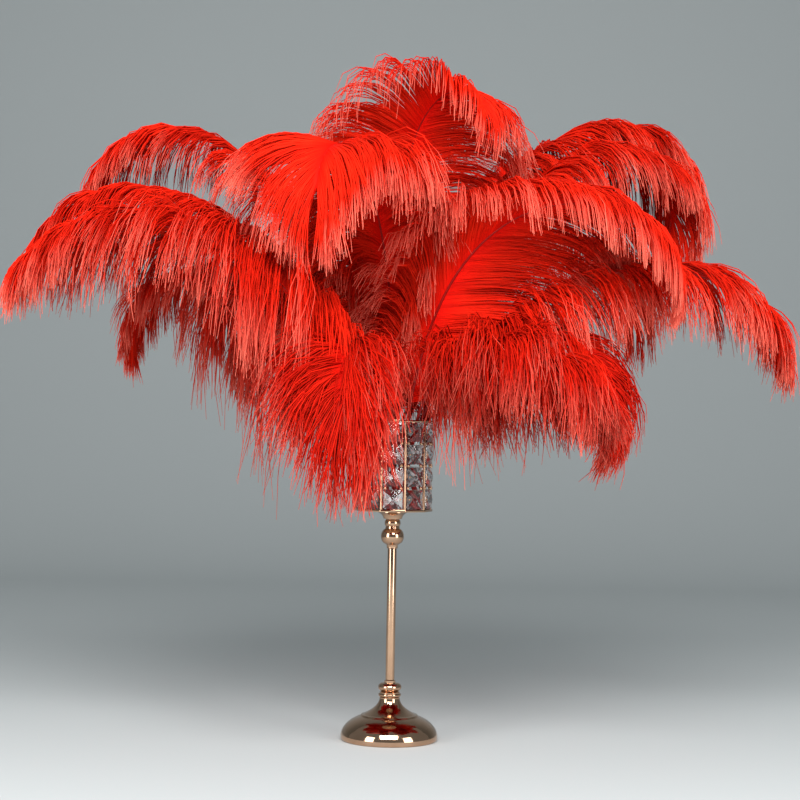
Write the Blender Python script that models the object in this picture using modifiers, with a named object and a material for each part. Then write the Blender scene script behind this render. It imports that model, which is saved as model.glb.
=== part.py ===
"""Eighteen dyed ostrich plumes in a tall metal candle-holder vase with a cup of crystal beads.

The origin is the centre of the foot's underside, +Z is up and the front is towards -Y.
Sizes are in metres; the outlines of turned pieces are written in millimetres.
"""

import itertools
import math
from dataclasses import dataclass

import bmesh
import bpy
import numpy as np
from mathutils import Matrix
from mathutils.bvhtree import BVHTree

MM = 0.001
GAP = 0.0003  # air between touching pieces

# ---- driving dimensions: the holder ----
FOOT_RADIUS = 0.058
FOOT_TOP = 0.051
STEM_RADIUS = 0.0054
STEM_FOOT = 0.071
STEM_TOP = 0.228
KNOP_TOP = 0.2633
CUP_BOTTOM = 0.273
FLOOR_THICKNESS = 0.003
CUP_SIDES = 10
BAR_CIRCLE = 0.0448  # radius of the circle through the upright bars
BAR_WIDTH = 0.0026
RIM_HEIGHT = 0.0026
RIM_WALL = 0.003

# ---- driving dimensions: the crystal beads ----
BEAD_ROWS = 4
BEAD_SIDE = 0.0232
BEAD_PITCH = 0.0265
BEAD_EDGE = 0.0024  # thickness of a bead along its rim
BEAD_FRONT = 0.0055  # height of the four-sided point that faces out
BEAD_BACK = 0.0028
LINK_WIDTH = 0.0030
LINK_THICKNESS = 0.0018
LINK_BITE = 0.0012  # how far a link runs into each bead

FLOOR_TOP = CUP_BOTTOM + FLOOR_THICKNESS
BEAD_FOOT = FLOOR_TOP + GAP
RIM_FOOT = BEAD_FOOT + (BEAD_ROWS - 1) * BEAD_PITCH + BEAD_SIDE + GAP
CUP_TOP = RIM_FOOT + RIM_HEIGHT

# ---- driving dimensions: the plumes ----
WAIST = 0.330  # height at which every quill passes closest to the axis
MOUTH = 0.380  # height at which the quills begin to bend
QUILL_RADIUS = 0.0021
TIP_RADIUS = 0.0006
VANE_START = 0.05  # share of the free shaft that is bare
BARB_ROOT_ANGLE = 62.0  # degrees between a barb and the shaft, low on the shaft
BARB_TIP_ANGLE = 22.0  # the same at the very tip
BARB_RISE = 12.0  # degrees by which a barb leaves the shaft towards its back
VANE_STATIONS = 18
NOTCH = 0.72  # reach of the notch between two locks
VANE_THICKNESS = 0.0014
BARB_SAMPLES = 12
SHAFT_SAMPLES = 160

# Clearance while the vanes are trimmed against each other
EXTRA_THICKNESS = 0.0005
EXTRA_REACH = 0.0015
TRIM = 0.92
TRIM_ROUNDS = 90
LEAST_REACH = 0.02


@dataclass(frozen=True)
class Plume:
    """One plume: how its quill stands in the cup, how its shaft arches and how its barbs hang."""

    name: str
    heading: float  # degrees, the way the quill leans: 0 is +X, 90 is +Y
    sweep: float  # degrees by which the heading has turned at the tip
    lean: float  # degrees from upright in the cup
    droop: float  # degrees from upright at the tip
    stiffness: float  # a higher value keeps the shaft straight for longer
    length: float  # from the mouth of the cup to the tip
    ring: float  # distance from the axis at the waist
    barb: float  # longest barb
    limpness: float  # how far the barbs hang under their own weight
    curl: float  # how far they curl towards the hollow side


INNER = 0.009
OUTER = 0.019

PLUMES = (
    Plume("feather_top", 298, 7, 0, 181, 6.2, 0.476, 0.0, 0.171, 1.9, 1.0),
    Plume("feather_top_front", 229, 22, 7, 202, 3.0, 0.507, INNER, 0.166, 1.6, 0.6),
    Plume("feather_left_upper", 146, 28, 23, 163, 3.3, 0.598, INNER, 0.150, 3.0, 0.6),
    Plume("feather_back_high", 100, -34, 21, 134, 4.4, 0.599, INNER, 0.153, 1.7, 0.3),
    Plume("feather_right_upper_back", 63, -74, 23, 144, 2.9, 0.637, INNER, 0.165, 2.8, 0.3),
    Plume("feather_right_upper", 20, -2, 22, 203, 3.3, 0.612, INNER, 0.155, 3.1, 0.5),
    Plume("feather_right_front", 291, 78, 22, 178, 2.2, 0.514, INNER, 0.182, 1.8, 0.9),
    Plume("feather_left_middle", 155, 33, 26, 149, 2.1, 0.578, OUTER, 0.153, 3.5, 0.6),
    Plume("feather_left_front", 205, -14, 31, 132, 1.7, 0.508, OUTER, 0.168, 2.7, 0.3),
    Plume("feather_left_low", 173, -16, 31, 174, 2.2, 0.422, OUTER, 0.110, 3.0, 0.6),
    Plume("feather_front_left", 238, 34, 31, 190, 1.4, 0.372, OUTER, 0.148, 2.5, 0.4),
    Plume("feather_front_right", 282, 49, 29, 167, 1.6, 0.346, OUTER, 0.165, 3.0, 0.5),
    Plume("feather_right_low", 315, 18, 26, 185, 1.5, 0.369, OUTER, 0.126, 1.8, 0.4),
    Plume("feather_right_far", 347, 18, 33, 158, 1.8, 0.545, OUTER, 0.152, 3.6, 0.6),
    Plume("feather_back_right", 39, -10, 28, 174, 2.3, 0.529, OUTER, 0.153, 3.0, 0.5),
    Plume("feather_back_low", 74, 12, 24, 181, 3.0, 0.502, OUTER, 0.135, 2.4, 0.4),
    Plume("feather_back_left", 102, 60, 32, 172, 2.6, 0.435, OUTER, 0.127, 2.7, 0.4),
    Plume("feather_back_far_left", 125, 30, 24, 170, 1.8, 0.298, OUTER, 0.094, 2.5, 0.6),
)


# ---- scene, materials and small helpers ----


def clear_scene():
    for found in list(bpy.data.objects):
        bpy.data.objects.remove(found, do_unlink=True)


def new_collection(name):
    made = bpy.data.collections.new(name)
    bpy.context.scene.collection.children.link(made)
    return made


def finish(name, colour, roughness, metallic=0.0, transmission=0.0):
    """A Principled material of its own for one node."""
    material = bpy.data.materials.new(name)
    material.use_nodes = True
    shader = material.node_tree.nodes["Principled BSDF"]
    shader.inputs["Base Color"].default_value = (*colour, 1.0)
    shader.inputs["Roughness"].default_value = roughness
    shader.inputs["Metallic"].default_value = metallic
    shader.inputs["Transmission Weight"].default_value = transmission
    return material


def plated_metal(name):
    return finish(name, (0.78, 0.60, 0.50), 0.1, metallic=1.0)


def dyed_feather(name):
    return finish(name, (0.72, 0.030, 0.015), 0.8)


def place(obj, collection, material=None):
    collection.objects.link(obj)
    if material is not None:
        obj.data.materials.append(material)
    return obj


def mesh_object(name, bm):
    mesh = bpy.data.meshes.new(name)
    bm.to_mesh(mesh)
    bm.free()
    return bpy.data.objects.new(name, mesh)


def applied(obj, name):
    """A new object with obj's modifiers made real."""
    bpy.context.view_layer.update()
    depsgraph = bpy.context.evaluated_depsgraph_get()
    mesh = bpy.data.meshes.new_from_object(obj.evaluated_get(depsgraph))
    made = bpy.data.objects.new(name, mesh)
    made.matrix_world = obj.matrix_world
    return made


def as_cutter(obj, collection):
    collection.objects.link(obj)
    obj.hide_render = True
    obj.display_type = "WIRE"
    return obj


def united(obj, *others):
    """Adds an exact Boolean union with each of the others."""
    for other in others:
        union = obj.modifiers.new("Union", "BOOLEAN")
        union.operation = "UNION"
        union.solver = "EXACT"
        union.object = other
    return obj


# ---- turned pieces ----


def bezier(start, pull_start, pull_end, end, count):
    """Points of a cubic Bezier from start to end, without its first point."""
    t = np.arange(1, count + 1)[:, None] / count
    points = (
        (1 - t) ** 3 * np.array(start)
        + 3 * (1 - t) ** 2 * t * np.array(pull_start)
        + 3 * (1 - t) * t**2 * np.array(pull_end)
        + t**3 * np.array(end)
    )
    return [tuple(point) for point in points]


def bulge(radius, height, half_height, waist, start, end, count):
    """Points down an oval bulge: its angles run from 90 degrees, at its top, to -90."""
    angles = np.radians(np.linspace(start, end, count))
    return [
        (waist + (radius - waist) * math.cos(a), height + half_height * math.sin(a))
        for a in angles
    ]


def turned(name, outline, steps, collection, material):
    """A solid of revolution from an outline in mm that runs from the axis down to the axis."""
    mesh = bpy.data.meshes.new(name)
    points = [(radius * MM, 0.0, height * MM) for radius, height in outline]
    mesh.from_pydata(points, [(i, i + 1) for i in range(len(points) - 1)], [])
    obj = place(bpy.data.objects.new(name, mesh), collection, material)
    screw = obj.modifiers.new("Turn", "SCREW")
    screw.axis = "Z"
    screw.angle = 2 * math.pi
    screw.steps = screw.render_steps = steps
    screw.use_merge_vertices = True
    screw.merge_threshold = 0.00001
    screw.use_smooth_shade = True
    return obj


def make_foot(collection):
    """The weighted foot: a swept neck, a small step and a domed rim over a flat underside."""
    radius = FOOT_RADIUS / MM
    top = FOOT_TOP / MM
    outline = [(0, top), (12.0, top), (12.0, top - 1.0)]
    outline += bezier((12.0, top - 1.0), (12.4, 42), (20, 36), (31.5, 30.5), 5)
    outline += [(33.8, 30.2), (34.8, 28.4)]
    outline += bezier((34.8, 28.4), (46, 24.5), (56.5, 17), (radius, 6.0), 6)
    outline += [(radius, 3.2), (radius - 2.0, 0.0), (0, 0)]
    return turned("foot", outline, 28, collection, plated_metal("foot_plating"))


def make_lower_knop(collection):
    """The ball between foot and stem, with a groove below it and a collar ring on top."""
    bottom = (FOOT_TOP + GAP) / MM
    top = STEM_FOOT / MM
    outline = [(0, top), (6.7, top), (6.7, top - 3.0)]
    outline += bulge(14.0, 62.8, 5.2, 8.0, 75, -70, 5)
    outline += [(12.2, 56.8), (12.2, 55.6), (13.5, 54.6), (13.5, 52.8), (12.0, bottom), (0, bottom)]
    return turned("lower_knop", outline, 18, collection, plated_metal("lower_knop_plating"))


def make_stem(collection):
    """The plain tube, solid here because its bore is closed at both ends."""
    bottom = (STEM_FOOT + GAP) / MM
    top = STEM_TOP / MM
    radius = STEM_RADIUS / MM
    outline = [(0, top), (radius, top), (radius, bottom), (0, bottom)]
    return turned("stem_tube", outline, 20, collection, plated_metal("stem_plating"))


def make_upper_knop(collection):
    """A ring, an egg-shaped knop and a small bulb under the cup."""
    bottom = (STEM_TOP + GAP) / MM
    top = KNOP_TOP / MM
    outline = [(0, top), (8.4, top)]
    outline += bulge(9.6, 258.6, 4.2, 7.4, 70, -70, 4)
    outline += bulge(13.8, 242.6, 9.6, 7.0, 75, -50, 5)
    outline += [(6.6, 231.8), (6.6, bottom), (0, bottom)]
    return turned("upper_knop", outline, 18, collection, plated_metal("upper_knop_plating"))


def make_cup_collar(collection):
    """The flared collar that carries the cup's floor."""
    bottom = (KNOP_TOP + GAP) / MM
    top = (CUP_BOTTOM - GAP) / MM
    outline = [(0, top), (18.0, top), (18.0, top - 1.4)]
    outline += bezier((18.0, top - 1.4), (14.5, 270.0), (12.0, 268.0), (11.0, bottom), 4)
    outline += [(0, bottom)]
    return turned("cup_collar", outline, 18, collection, plated_metal("cup_collar_plating"))


# ---- the cup ----


def side_angle(side):
    """Heading of the middle of one of the cup's sides; side 0 faces the front."""
    return -math.pi / 2 + side * 2 * math.pi / CUP_SIDES


def corner_angle(corner):
    return side_angle(corner) + math.pi / CUP_SIDES


def decagon(radius, bottom, top, capped):
    """A ten-sided prism whose sides face the same ways as the cup's."""
    bm = bmesh.new()
    turn = Matrix.Rotation(corner_angle(0) - math.pi / 2, 4, "Z")
    lift = Matrix.Translation((0, 0, (bottom + top) / 2))
    bmesh.ops.create_cone(
        bm,
        cap_ends=capped,
        segments=CUP_SIDES,
        radius1=radius,
        radius2=radius,
        depth=top - bottom,
        matrix=lift @ turn,
    )
    return bm


def make_cup_frame(parts, cutters):
    """The brazed cage: a ten-sided floor, ten upright bars and a rim band."""
    floor = mesh_object("cage_floor", decagon(BAR_CIRCLE + 0.0027, CUP_BOTTOM, FLOOR_TOP, True))
    bars = bmesh.new()
    bite = 0.001
    for corner in range(CUP_SIDES):
        turn = Matrix.Rotation(corner_angle(corner), 4, "Z")
        middle = Matrix.Translation((BAR_CIRCLE, 0, (FLOOR_TOP + RIM_FOOT) / 2))
        size = Matrix.Diagonal((BAR_WIDTH, BAR_WIDTH, RIM_FOOT - FLOOR_TOP + 2 * bite, 1))
        bmesh.ops.create_cube(bars, size=1.0, matrix=turn @ middle @ size)
    rim = mesh_object("cage_rim", decagon(BAR_CIRCLE + 0.0018, RIM_FOOT, CUP_TOP, False))
    wall = rim.modifiers.new("Wall", "SOLIDIFY")
    wall.thickness = RIM_WALL
    wall.offset = -1.0
    wall.use_even_offset = True
    as_cutter(floor, cutters)
    as_cutter(rim, cutters)
    bars_object = as_cutter(mesh_object("cage_bars", bars), cutters)
    united(floor, bars_object, rim)
    frame = place(applied(floor, "cup_frame"), parts)
    frame.data.materials.clear()
    frame.data.materials.append(plated_metal("cup_frame_plating"))
    return frame


def box(bm, centre, size):
    shape = Matrix.Translation(centre) @ Matrix.Diagonal((*size, 1.0))
    return bmesh.ops.create_cube(bm, size=1.0, matrix=shape)["verts"]


def bead_strip():
    """Four square beads, one above the other, each with a low four-sided point front and back."""
    bm = bmesh.new()
    for row in range(BEAD_ROWS):
        height = BEAD_FOOT + BEAD_SIDE / 2 + row * BEAD_PITCH
        box(bm, (0, 0, height), (BEAD_SIDE, BEAD_EDGE, BEAD_SIDE))
    for sign, point in ((-1, BEAD_FRONT), (1, BEAD_BACK)):
        faces = [face for face in bm.faces if face.normal.y * sign > 0.9]
        bmesh.ops.poke(bm, faces=faces, offset=point)
    return mesh_object("bead_strip", bm)


def link_strip():
    """The small wire links that join the corners of neighbouring beads."""
    bm = bmesh.new()
    reach = BEAD_PITCH - BEAD_SIDE + 2 * LINK_BITE
    for row in range(BEAD_ROWS - 1):
        height = BEAD_FOOT + BEAD_SIDE + (BEAD_PITCH - BEAD_SIDE) / 2 + row * BEAD_PITCH
        for side in (-1, 1):
            across = side * (BEAD_SIDE / 2 - LINK_WIDTH)
            box(bm, (across, 0, height), (LINK_WIDTH, LINK_THICKNESS, reach))
    return mesh_object("link_strip", bm)


def make_crystal_columns(parts, cutters):
    """Ten columns of beads between the bars, their points facing out."""
    strip = as_cutter(bead_strip(), cutters)
    united(strip, as_cutter(link_strip(), cutters))
    master = applied(strip, "crystal_column_master")
    apothem = BAR_CIRCLE * math.cos(math.pi / CUP_SIDES)
    made = []
    for side in range(CUP_SIDES):
        name = f"crystal_column_{side + 1:02d}"
        column = bpy.data.objects.new(name, master.data.copy())
        place(column, parts)
        column.data.materials.clear()
        column.data.materials.append(
            finish(f"{name}_glass", (0.97, 0.95, 0.95), 0.02, transmission=1.0)
        )
        column.rotation_euler = (0, 0, side_angle(side) + math.pi / 2)
        column.location = (
            apothem * math.cos(side_angle(side)),
            apothem * math.sin(side_angle(side)),
            0,
        )
        made.append(column)
    bpy.data.objects.remove(master, do_unlink=True)
    return made


# ---- the plumes ----


def directions(plume, share):
    """Shaft direction, back of the feather and its side, at shares of the free length."""
    heading = np.radians(plume.heading + plume.sweep * share)
    tilt = np.radians(plume.lean + (plume.droop - plume.lean) * share**plume.stiffness)
    along = np.stack(
        [np.sin(tilt) * np.cos(heading), np.sin(tilt) * np.sin(heading), np.cos(tilt)], -1
    )
    back = np.stack(
        [-np.cos(tilt) * np.cos(heading), -np.cos(tilt) * np.sin(heading), np.sin(tilt)], -1
    )
    return along, back, np.cross(along, back)


def quill(plume):
    """Foot and mouth points of the straight quill, which passes the axis at its ring's distance."""
    heading = math.radians(plume.heading)
    lean = math.radians(plume.lean)
    nearest = np.array(
        [-math.sin(heading) * plume.ring, math.cos(heading) * plume.ring, WAIST]
    )
    slope = np.array(
        [math.cos(heading) * math.tan(lean), math.sin(heading) * math.tan(lean), 1.0]
    )
    foot_height = FLOOR_TOP + GAP + QUILL_RADIUS * math.sin(lean)
    return nearest + slope * (foot_height - WAIST), nearest + slope * (MOUTH - WAIST)


class Vane:
    """The shaft of one plume and the hanging course of its barbs, ready to be lofted."""

    def __init__(self, plume):
        self.plume = plume
        self.foot, self.mouth = quill(plume)
        self.share = np.linspace(VANE_START, 1.0, VANE_STATIONS)
        self.shaft = self.shaft_points(self.share)
        self.along, self.back, self.side = directions(plume, self.share)
        self.radius = QUILL_RADIUS + (TIP_RADIUS - QUILL_RADIUS) * self.share
        self.barbs = [self.barb_courses(sign) for sign in (1, -1)]
        self.reach = np.ones((2, VANE_STATIONS))

    def shaft_points(self, share):
        fine = np.linspace(0.0, 1.0, SHAFT_SAMPLES + 1)
        along, _, _ = directions(self.plume, (fine[1:] + fine[:-1]) / 2)
        steps = along * self.plume.length / SHAFT_SAMPLES
        course = np.vstack([self.mouth, self.mouth + np.cumsum(steps, axis=0)])
        return np.stack([np.interp(share, fine, course[:, i]) for i in range(3)], 1)

    def barb_lengths(self):
        """Barbs grow quickly above the bare quill and shorten again towards the tip."""
        place_on_vane = (self.share - VANE_START) / (1 - VANE_START)
        rising = 0.6 + 0.4 * np.clip(place_on_vane / 0.3, 0, 1)
        falling = 1 - 0.5 * np.clip((place_on_vane - 0.7) / 0.3, 0, 1) ** 1.5
        return self.plume.barb * rising * falling

    def barb_courses(self, sign):
        """Points along each station's barb as it leaves the shaft, curls and hangs."""
        place_on_vane = (self.share - VANE_START) / (1 - VANE_START)
        closing = np.clip((place_on_vane - 0.7) / 0.3, 0, 1) ** 1.5
        body_angle = BARB_ROOT_ANGLE - 10 * place_on_vane
        angle = np.radians(body_angle + (BARB_TIP_ANGLE - body_angle) * closing)[:, None]
        rise = math.radians(BARB_RISE)
        outwards = self.side * sign * math.cos(rise) + self.back * math.sin(rise)
        heading = self.along * np.cos(angle) + outwards * np.sin(angle)
        step = (self.barb_lengths() / BARB_SAMPLES)[:, None]
        down = np.array([0.0, 0.0, -1.0])
        point = self.shaft.copy()
        course = [point]
        for sample in range(BARB_SAMPLES):
            bend = (sample + 0.5) / BARB_SAMPLES**2
            weight = down - (heading @ down)[:, None] * heading
            hollow = -self.back + np.sum(self.back * heading, 1)[:, None] * heading
            heading = heading + weight * self.plume.limpness * 1.6 * bend
            heading = heading + hollow * self.plume.curl * 1.4 * bend
            heading = heading / np.linalg.norm(heading, axis=1)[:, None]
            point = point + heading * step
            course.append(point)
        return np.stack(course, 1)

    def on_barb(self, side, fraction):
        """The point and the barb's own back direction, at a fraction of each barb."""
        course = self.barbs[side]
        spot = np.clip(fraction * BARB_SAMPLES, 0, BARB_SAMPLES - 1e-6)
        low = spot.astype(int)
        rows = np.arange(VANE_STATIONS)
        start, end = course[rows, low], course[rows, low + 1]
        point = start + (end - start) * (spot - low)[:, None]
        heading = (end - start) / np.linalg.norm(end - start, axis=1)[:, None]
        across = np.cross(heading, self.along) * (1, -1)[side]
        return point, across / np.linalg.norm(across, axis=1)[:, None]

    def sections(self, clearance=False):
        """Eight points round each section: shaft back, one wing, shaft front, the other wing."""
        spare = EXTRA_THICKNESS if clearance else 0.0
        longer = EXTRA_REACH if clearance else 0.0
        rings = [self.round_section(point, spare) for point in (self.foot, self.mouth)]
        lock = np.where(np.arange(VANE_STATIONS) % 2 == 1, 1.0, NOTCH)
        ripple = 1 + 0.05 * np.sin(2.4 * np.arange(VANE_STATIONS))
        radius = (self.radius + spare)[:, None]
        half = VANE_THICKNESS / 2 + spare
        wings = []
        for side in (0, 1):
            reach = np.clip(
                self.reach[side] * lock * ripple / 1.05 + longer / self.barb_lengths(), 0, 1
            )
            middle, across = self.on_barb(side, reach * 0.5)
            tip, _ = self.on_barb(side, reach)
            wings.append((middle + across * half, tip, middle - across * half))
        crest, keel = self.shaft + self.back * radius, self.shaft - self.back * radius
        columns = [crest, *wings[0], keel, *wings[1][::-1]]
        rings += list(np.stack(columns, 1))
        return rings

    def round_section(self, centre, spare):
        _, back, side = directions(self.plume, np.array(0.0))
        radius = QUILL_RADIUS + spare
        return np.array(
            [
                centre + radius * (back * math.cos(a) + side * math.sin(a))
                for a in np.arange(8) * math.pi / 4
            ]
        )

    def mesh_data(self, clearance=False):
        """Points and triangles of the closed loft. Every step adds 16 triangles."""
        rings = self.sections(clearance)
        points = np.vstack(rings)
        faces = []
        for step in range(len(rings) - 1):
            low, high = 8 * step, 8 * (step + 1)
            for j in range(8):
                k = (j + 1) % 8
                # both skins of a wing fold along the same diagonals, so they never cross
                if j in (0, 1, 4, 5):
                    faces.append((low + j, low + k, high + k))
                    faces.append((low + j, high + k, high + j))
                else:
                    faces.append((low + j, low + k, high + j))
                    faces.append((low + k, high + k, high + j))
        last = 8 * (len(rings) - 1)
        foot_cap = [(0, j + 1, j) for j in range(1, 7)]
        wing_edges = [(0, 1, 3), (0, 3, 4), (1, 2, 3), (0, 4, 5), (0, 5, 7), (5, 6, 7)]
        tip_cap = [tuple(last + corner for corner in face) for face in wing_edges]
        return points, faces + foot_cap + tip_cap

    def shorten(self, face):
        """Trims the two locks that a face of the clearance mesh belongs to."""
        step, corner = face // 16, (face % 16) // 2
        if face >= 16 * (VANE_STATIONS + 1):
            self.reach[:, -1] *= TRIM
            return
        side = 0 if corner < 4 else 1
        for station in (step - 2, step - 1):
            if 0 <= station < VANE_STATIONS:
                self.reach[side, station] *= TRIM


def tree_of(points, faces):
    return BVHTree.FromPolygons([tuple(p) for p in points], faces, all_triangles=True)


def folded_faces(vane):
    """Faces of one vane that cross others of its own that they don't adjoin."""
    points, faces = vane.mesh_data()
    tree = tree_of(points, faces)
    pairs = np.array(tree.overlap(tree), dtype=int).reshape(-1, 2)
    corners = np.array(faces)
    first, second = corners[pairs[:, 0]], corners[pairs[:, 1]]
    adjoining = (first[:, :, None] == second[:, None, :]).any(axis=(1, 2))
    return {int(face) for face in pairs[~adjoining, 0]}


def tree_of_object(obj):
    """A search tree of an object's evaluated faces, in world space."""
    bpy.context.view_layer.update()
    depsgraph = bpy.context.evaluated_depsgraph_get()
    mesh = obj.evaluated_get(depsgraph).to_mesh()
    points = [obj.matrix_world @ vertex.co for vertex in mesh.vertices]
    return BVHTree.FromPolygons(points, [tuple(face.vertices) for face in mesh.polygons])


def trim_vanes(vanes, obstacles):
    """Shortens locks, a little each round, until no vane meets another, the cup or itself."""
    for _ in range(TRIM_ROUNDS):
        trees = [tree_of(*vane.mesh_data(clearance=True)) for vane in vanes]
        touched = [folded_faces(vane) for vane in vanes]
        for (i, first), (j, second) in itertools.combinations(enumerate(trees), 2):
            for face, other in first.overlap(second):
                touched[i].add(face)
                touched[j].add(other)
        for i, tree in enumerate(trees):
            for obstacle in obstacles:
                touched[i].update(face for face, _ in tree.overlap(obstacle))
        if not any(touched):
            break
        for vane, faces in zip(vanes, touched):
            before = vane.reach.copy()
            for face in sorted(faces):
                vane.shorten(face)
            vane.reach = np.maximum(vane.reach, np.maximum(before * TRIM, LEAST_REACH))


def make_plumes(collection, cup):
    vanes = [Vane(plume) for plume in PLUMES]
    trim_vanes(vanes, [tree_of_object(piece) for piece in cup])
    for vane in vanes:
        points, faces = vane.mesh_data()
        mesh = bpy.data.meshes.new(vane.plume.name)
        mesh.from_pydata([tuple(p) for p in points], [], faces)
        feather = bpy.data.objects.new(vane.plume.name, mesh)
        place(feather, collection, dyed_feather(f"{vane.plume.name}_dye"))


def main():
    clear_scene()
    parts = new_collection("ostrich_plume_arrangement")
    cutters = new_collection("cutters")
    for make in (make_foot, make_lower_knop, make_stem, make_upper_knop, make_cup_collar):
        make(parts)
    cup = [make_cup_frame(parts, cutters)]
    cup += make_crystal_columns(parts, cutters)
    make_plumes(parts, cup)


main()
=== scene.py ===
"""Dyed ostrich plumes in a plated candle stand with a crystal cup, dressed over its solids."""

import logging
import math
from dataclasses import dataclass
from enum import Enum
from typing import Any, Sequence

import bmesh
import bpy
import numpy as np
from bmesh.types import BMesh
from bpy.types import Material, Mesh, Node, NodeSocket, NodeTree, Object
from mathutils import Matrix, Vector


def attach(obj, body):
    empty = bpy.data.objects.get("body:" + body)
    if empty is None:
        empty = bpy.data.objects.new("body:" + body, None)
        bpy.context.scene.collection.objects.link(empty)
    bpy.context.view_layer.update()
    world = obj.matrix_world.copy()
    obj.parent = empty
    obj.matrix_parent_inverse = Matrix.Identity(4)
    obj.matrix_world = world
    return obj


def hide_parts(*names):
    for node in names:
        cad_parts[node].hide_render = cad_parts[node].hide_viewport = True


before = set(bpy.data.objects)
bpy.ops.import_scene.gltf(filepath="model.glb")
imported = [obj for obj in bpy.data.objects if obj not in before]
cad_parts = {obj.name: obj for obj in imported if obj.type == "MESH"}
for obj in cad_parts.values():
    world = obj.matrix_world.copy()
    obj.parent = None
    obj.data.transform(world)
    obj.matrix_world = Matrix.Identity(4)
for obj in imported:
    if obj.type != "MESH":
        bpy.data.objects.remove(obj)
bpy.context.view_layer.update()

LOG = logging.getLogger("plumes")
MM = 0.001
BODY = "root"
BAKE_MAP = "OFBake"
CREASE = 35.0  # degrees between faces above which their edge is shaded sharp

Point = tuple[float, float]
Row = tuple[str, str, dict[str, Any], dict[Any, Any]]
MATH, VECTOR, RANGE = "ShaderNodeMath", "ShaderNodeVectorMath", "ShaderNodeMapRange"
NOISE, MIX, BUMP = "ShaderNodeTexNoise", "ShaderNodeMix", "ShaderNodeBump"
PLACE, FIELD, SURFACE = "ShaderNodeTexCoord", "ShaderNodeAttribute", "ShaderNodeBsdfPrincipled"
READ, STORE = "GeometryNodeInputNamedAttribute", "GeometryNodeStoreNamedAttribute"
DICE, FINISH = "FunctionNodeRandomValue", "GeometryNodeSetMaterial"
PLUS, MINUS, TIMES, OVER, POWER, TIMES_PLUS, SCALED, ABOVE, BELOW = (
    {"operation": name}
    for name in ("ADD", "SUBTRACT", "MULTIPLY", "DIVIDE", "POWER", "MULTIPLY_ADD", "SCALE",
                 "GREATER_THAN", "LESS_THAN")
)
NUMBER, ARROW, COLOUR = (
    {"data_type": kind} for kind in ("FLOAT", "FLOAT_VECTOR", "RGBA")
)


# ---- nodes, colours and meshes ----


def linear(hex_code: str) -> tuple[float, float, float, float]:
    """Turns an sRGB hex colour into the linear colour that Blender's sockets take.

    Args:
        hex_code: Six hex digits, with or without a leading hash.

    Returns:
        Linear red, green, blue and an alpha of 1.
    """
    digits = hex_code.lstrip("#")
    channels = [int(digits[i : i + 2], 16) / 255 for i in (0, 2, 4)]
    values = [c / 12.92 if c <= 0.04045 else ((c + 0.055) / 1.055) ** 2.4 for c in channels]
    return (values[0], values[1], values[2], 1.0)


def add_node(tree: NodeTree, kind: str, settings: dict[str, Any], inputs: dict[Any, Any]) -> Node:
    """Adds a node, sets its properties, and fills or links its inputs.

    Args:
        tree: The tree that gets the node.
        kind: The node's type name.
        settings: Property names and their values.
        inputs: Socket identifiers or positions, each with a value, an output or several.

    Returns:
        The new node.
    """
    node = tree.nodes.new(kind)
    for name, value in settings.items():
        setattr(node, name, value)
    named = {socket.identifier: socket for socket in node.inputs}
    for key, value in inputs.items():
        socket = node.inputs[key] if isinstance(key, int) else named[key]
        outputs = value if isinstance(value, list) else [value]
        if isinstance(outputs[0], NodeSocket):
            for output in outputs:
                tree.links.new(output, socket)
        else:
            socket.default_value = value
    return node


def wire(tree: NodeTree, rows: Sequence[Row]) -> dict[str, Node]:
    """Adds a table of nodes, each row linked to rows above it.

    Args:
        tree: The tree that gets them.
        rows: Each holds a label, the node's type name, its settings and its inputs. The input
            "=label" is the first output of that row, and "=label.output" is another one, by its
            identifier or name. A list of these fills an input that takes several.

    Returns:
        The nodes by label.
    """
    nodes: dict[str, Node] = {}

    def found(value: Any) -> Any:
        """Returns the output that a value names, or the value itself."""
        if isinstance(value, list):
            return [found(one) for one in value]
        if not isinstance(value, str) or not value.startswith("="):
            return value
        label, _, output = value[1:].partition(".")
        outputs = nodes[label].outputs
        return next(o for o in outputs if output in ("", o.identifier, o.name))

    for label, kind, settings, inputs in rows:
        linked = {key: found(value) for key, value in inputs.items()}
        nodes[label] = add_node(tree, kind, settings, linked)
    return nodes


def growing_tree(
    name: str, sockets: Sequence[tuple[str, str, Any]], rows: Sequence[Row]
) -> NodeTree:
    """Builds a geometry tree with named inputs.

    Args:
        name: The tree's name.
        sockets: Each input's name, kind and usual value, or None for no usual value.
        rows: The tree's nodes; "=given" is its input, and the row grown is what it puts out.

    Returns:
        The tree.
    """
    tree = bpy.data.node_groups.new(name, "GeometryNodeTree")
    geometry = "NodeSocketGeometry"
    for label, kind, value in (("Geometry", geometry, None), *sockets):
        socket = tree.interface.new_socket(label, in_out="INPUT", socket_type=kind)
        if value is not None:
            socket.default_value = value
    tree.interface.new_socket("Geometry", in_out="OUTPUT", socket_type=geometry)
    ends = (("given", "NodeGroupInput", {}, {}), ("out", "NodeGroupOutput", {}, {0: "=grown"}))
    wire(tree, (ends[0], *rows, ends[1]))
    return tree


def placed(name: str, data: Any) -> Object:
    """Puts an object in the scene, at the origin.

    Args:
        name: Its name.
        data: Its mesh, light or camera.

    Returns:
        The object.
    """
    thing = bpy.data.objects.new(name, data)
    bpy.context.scene.collection.objects.link(thing)
    return thing


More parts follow.
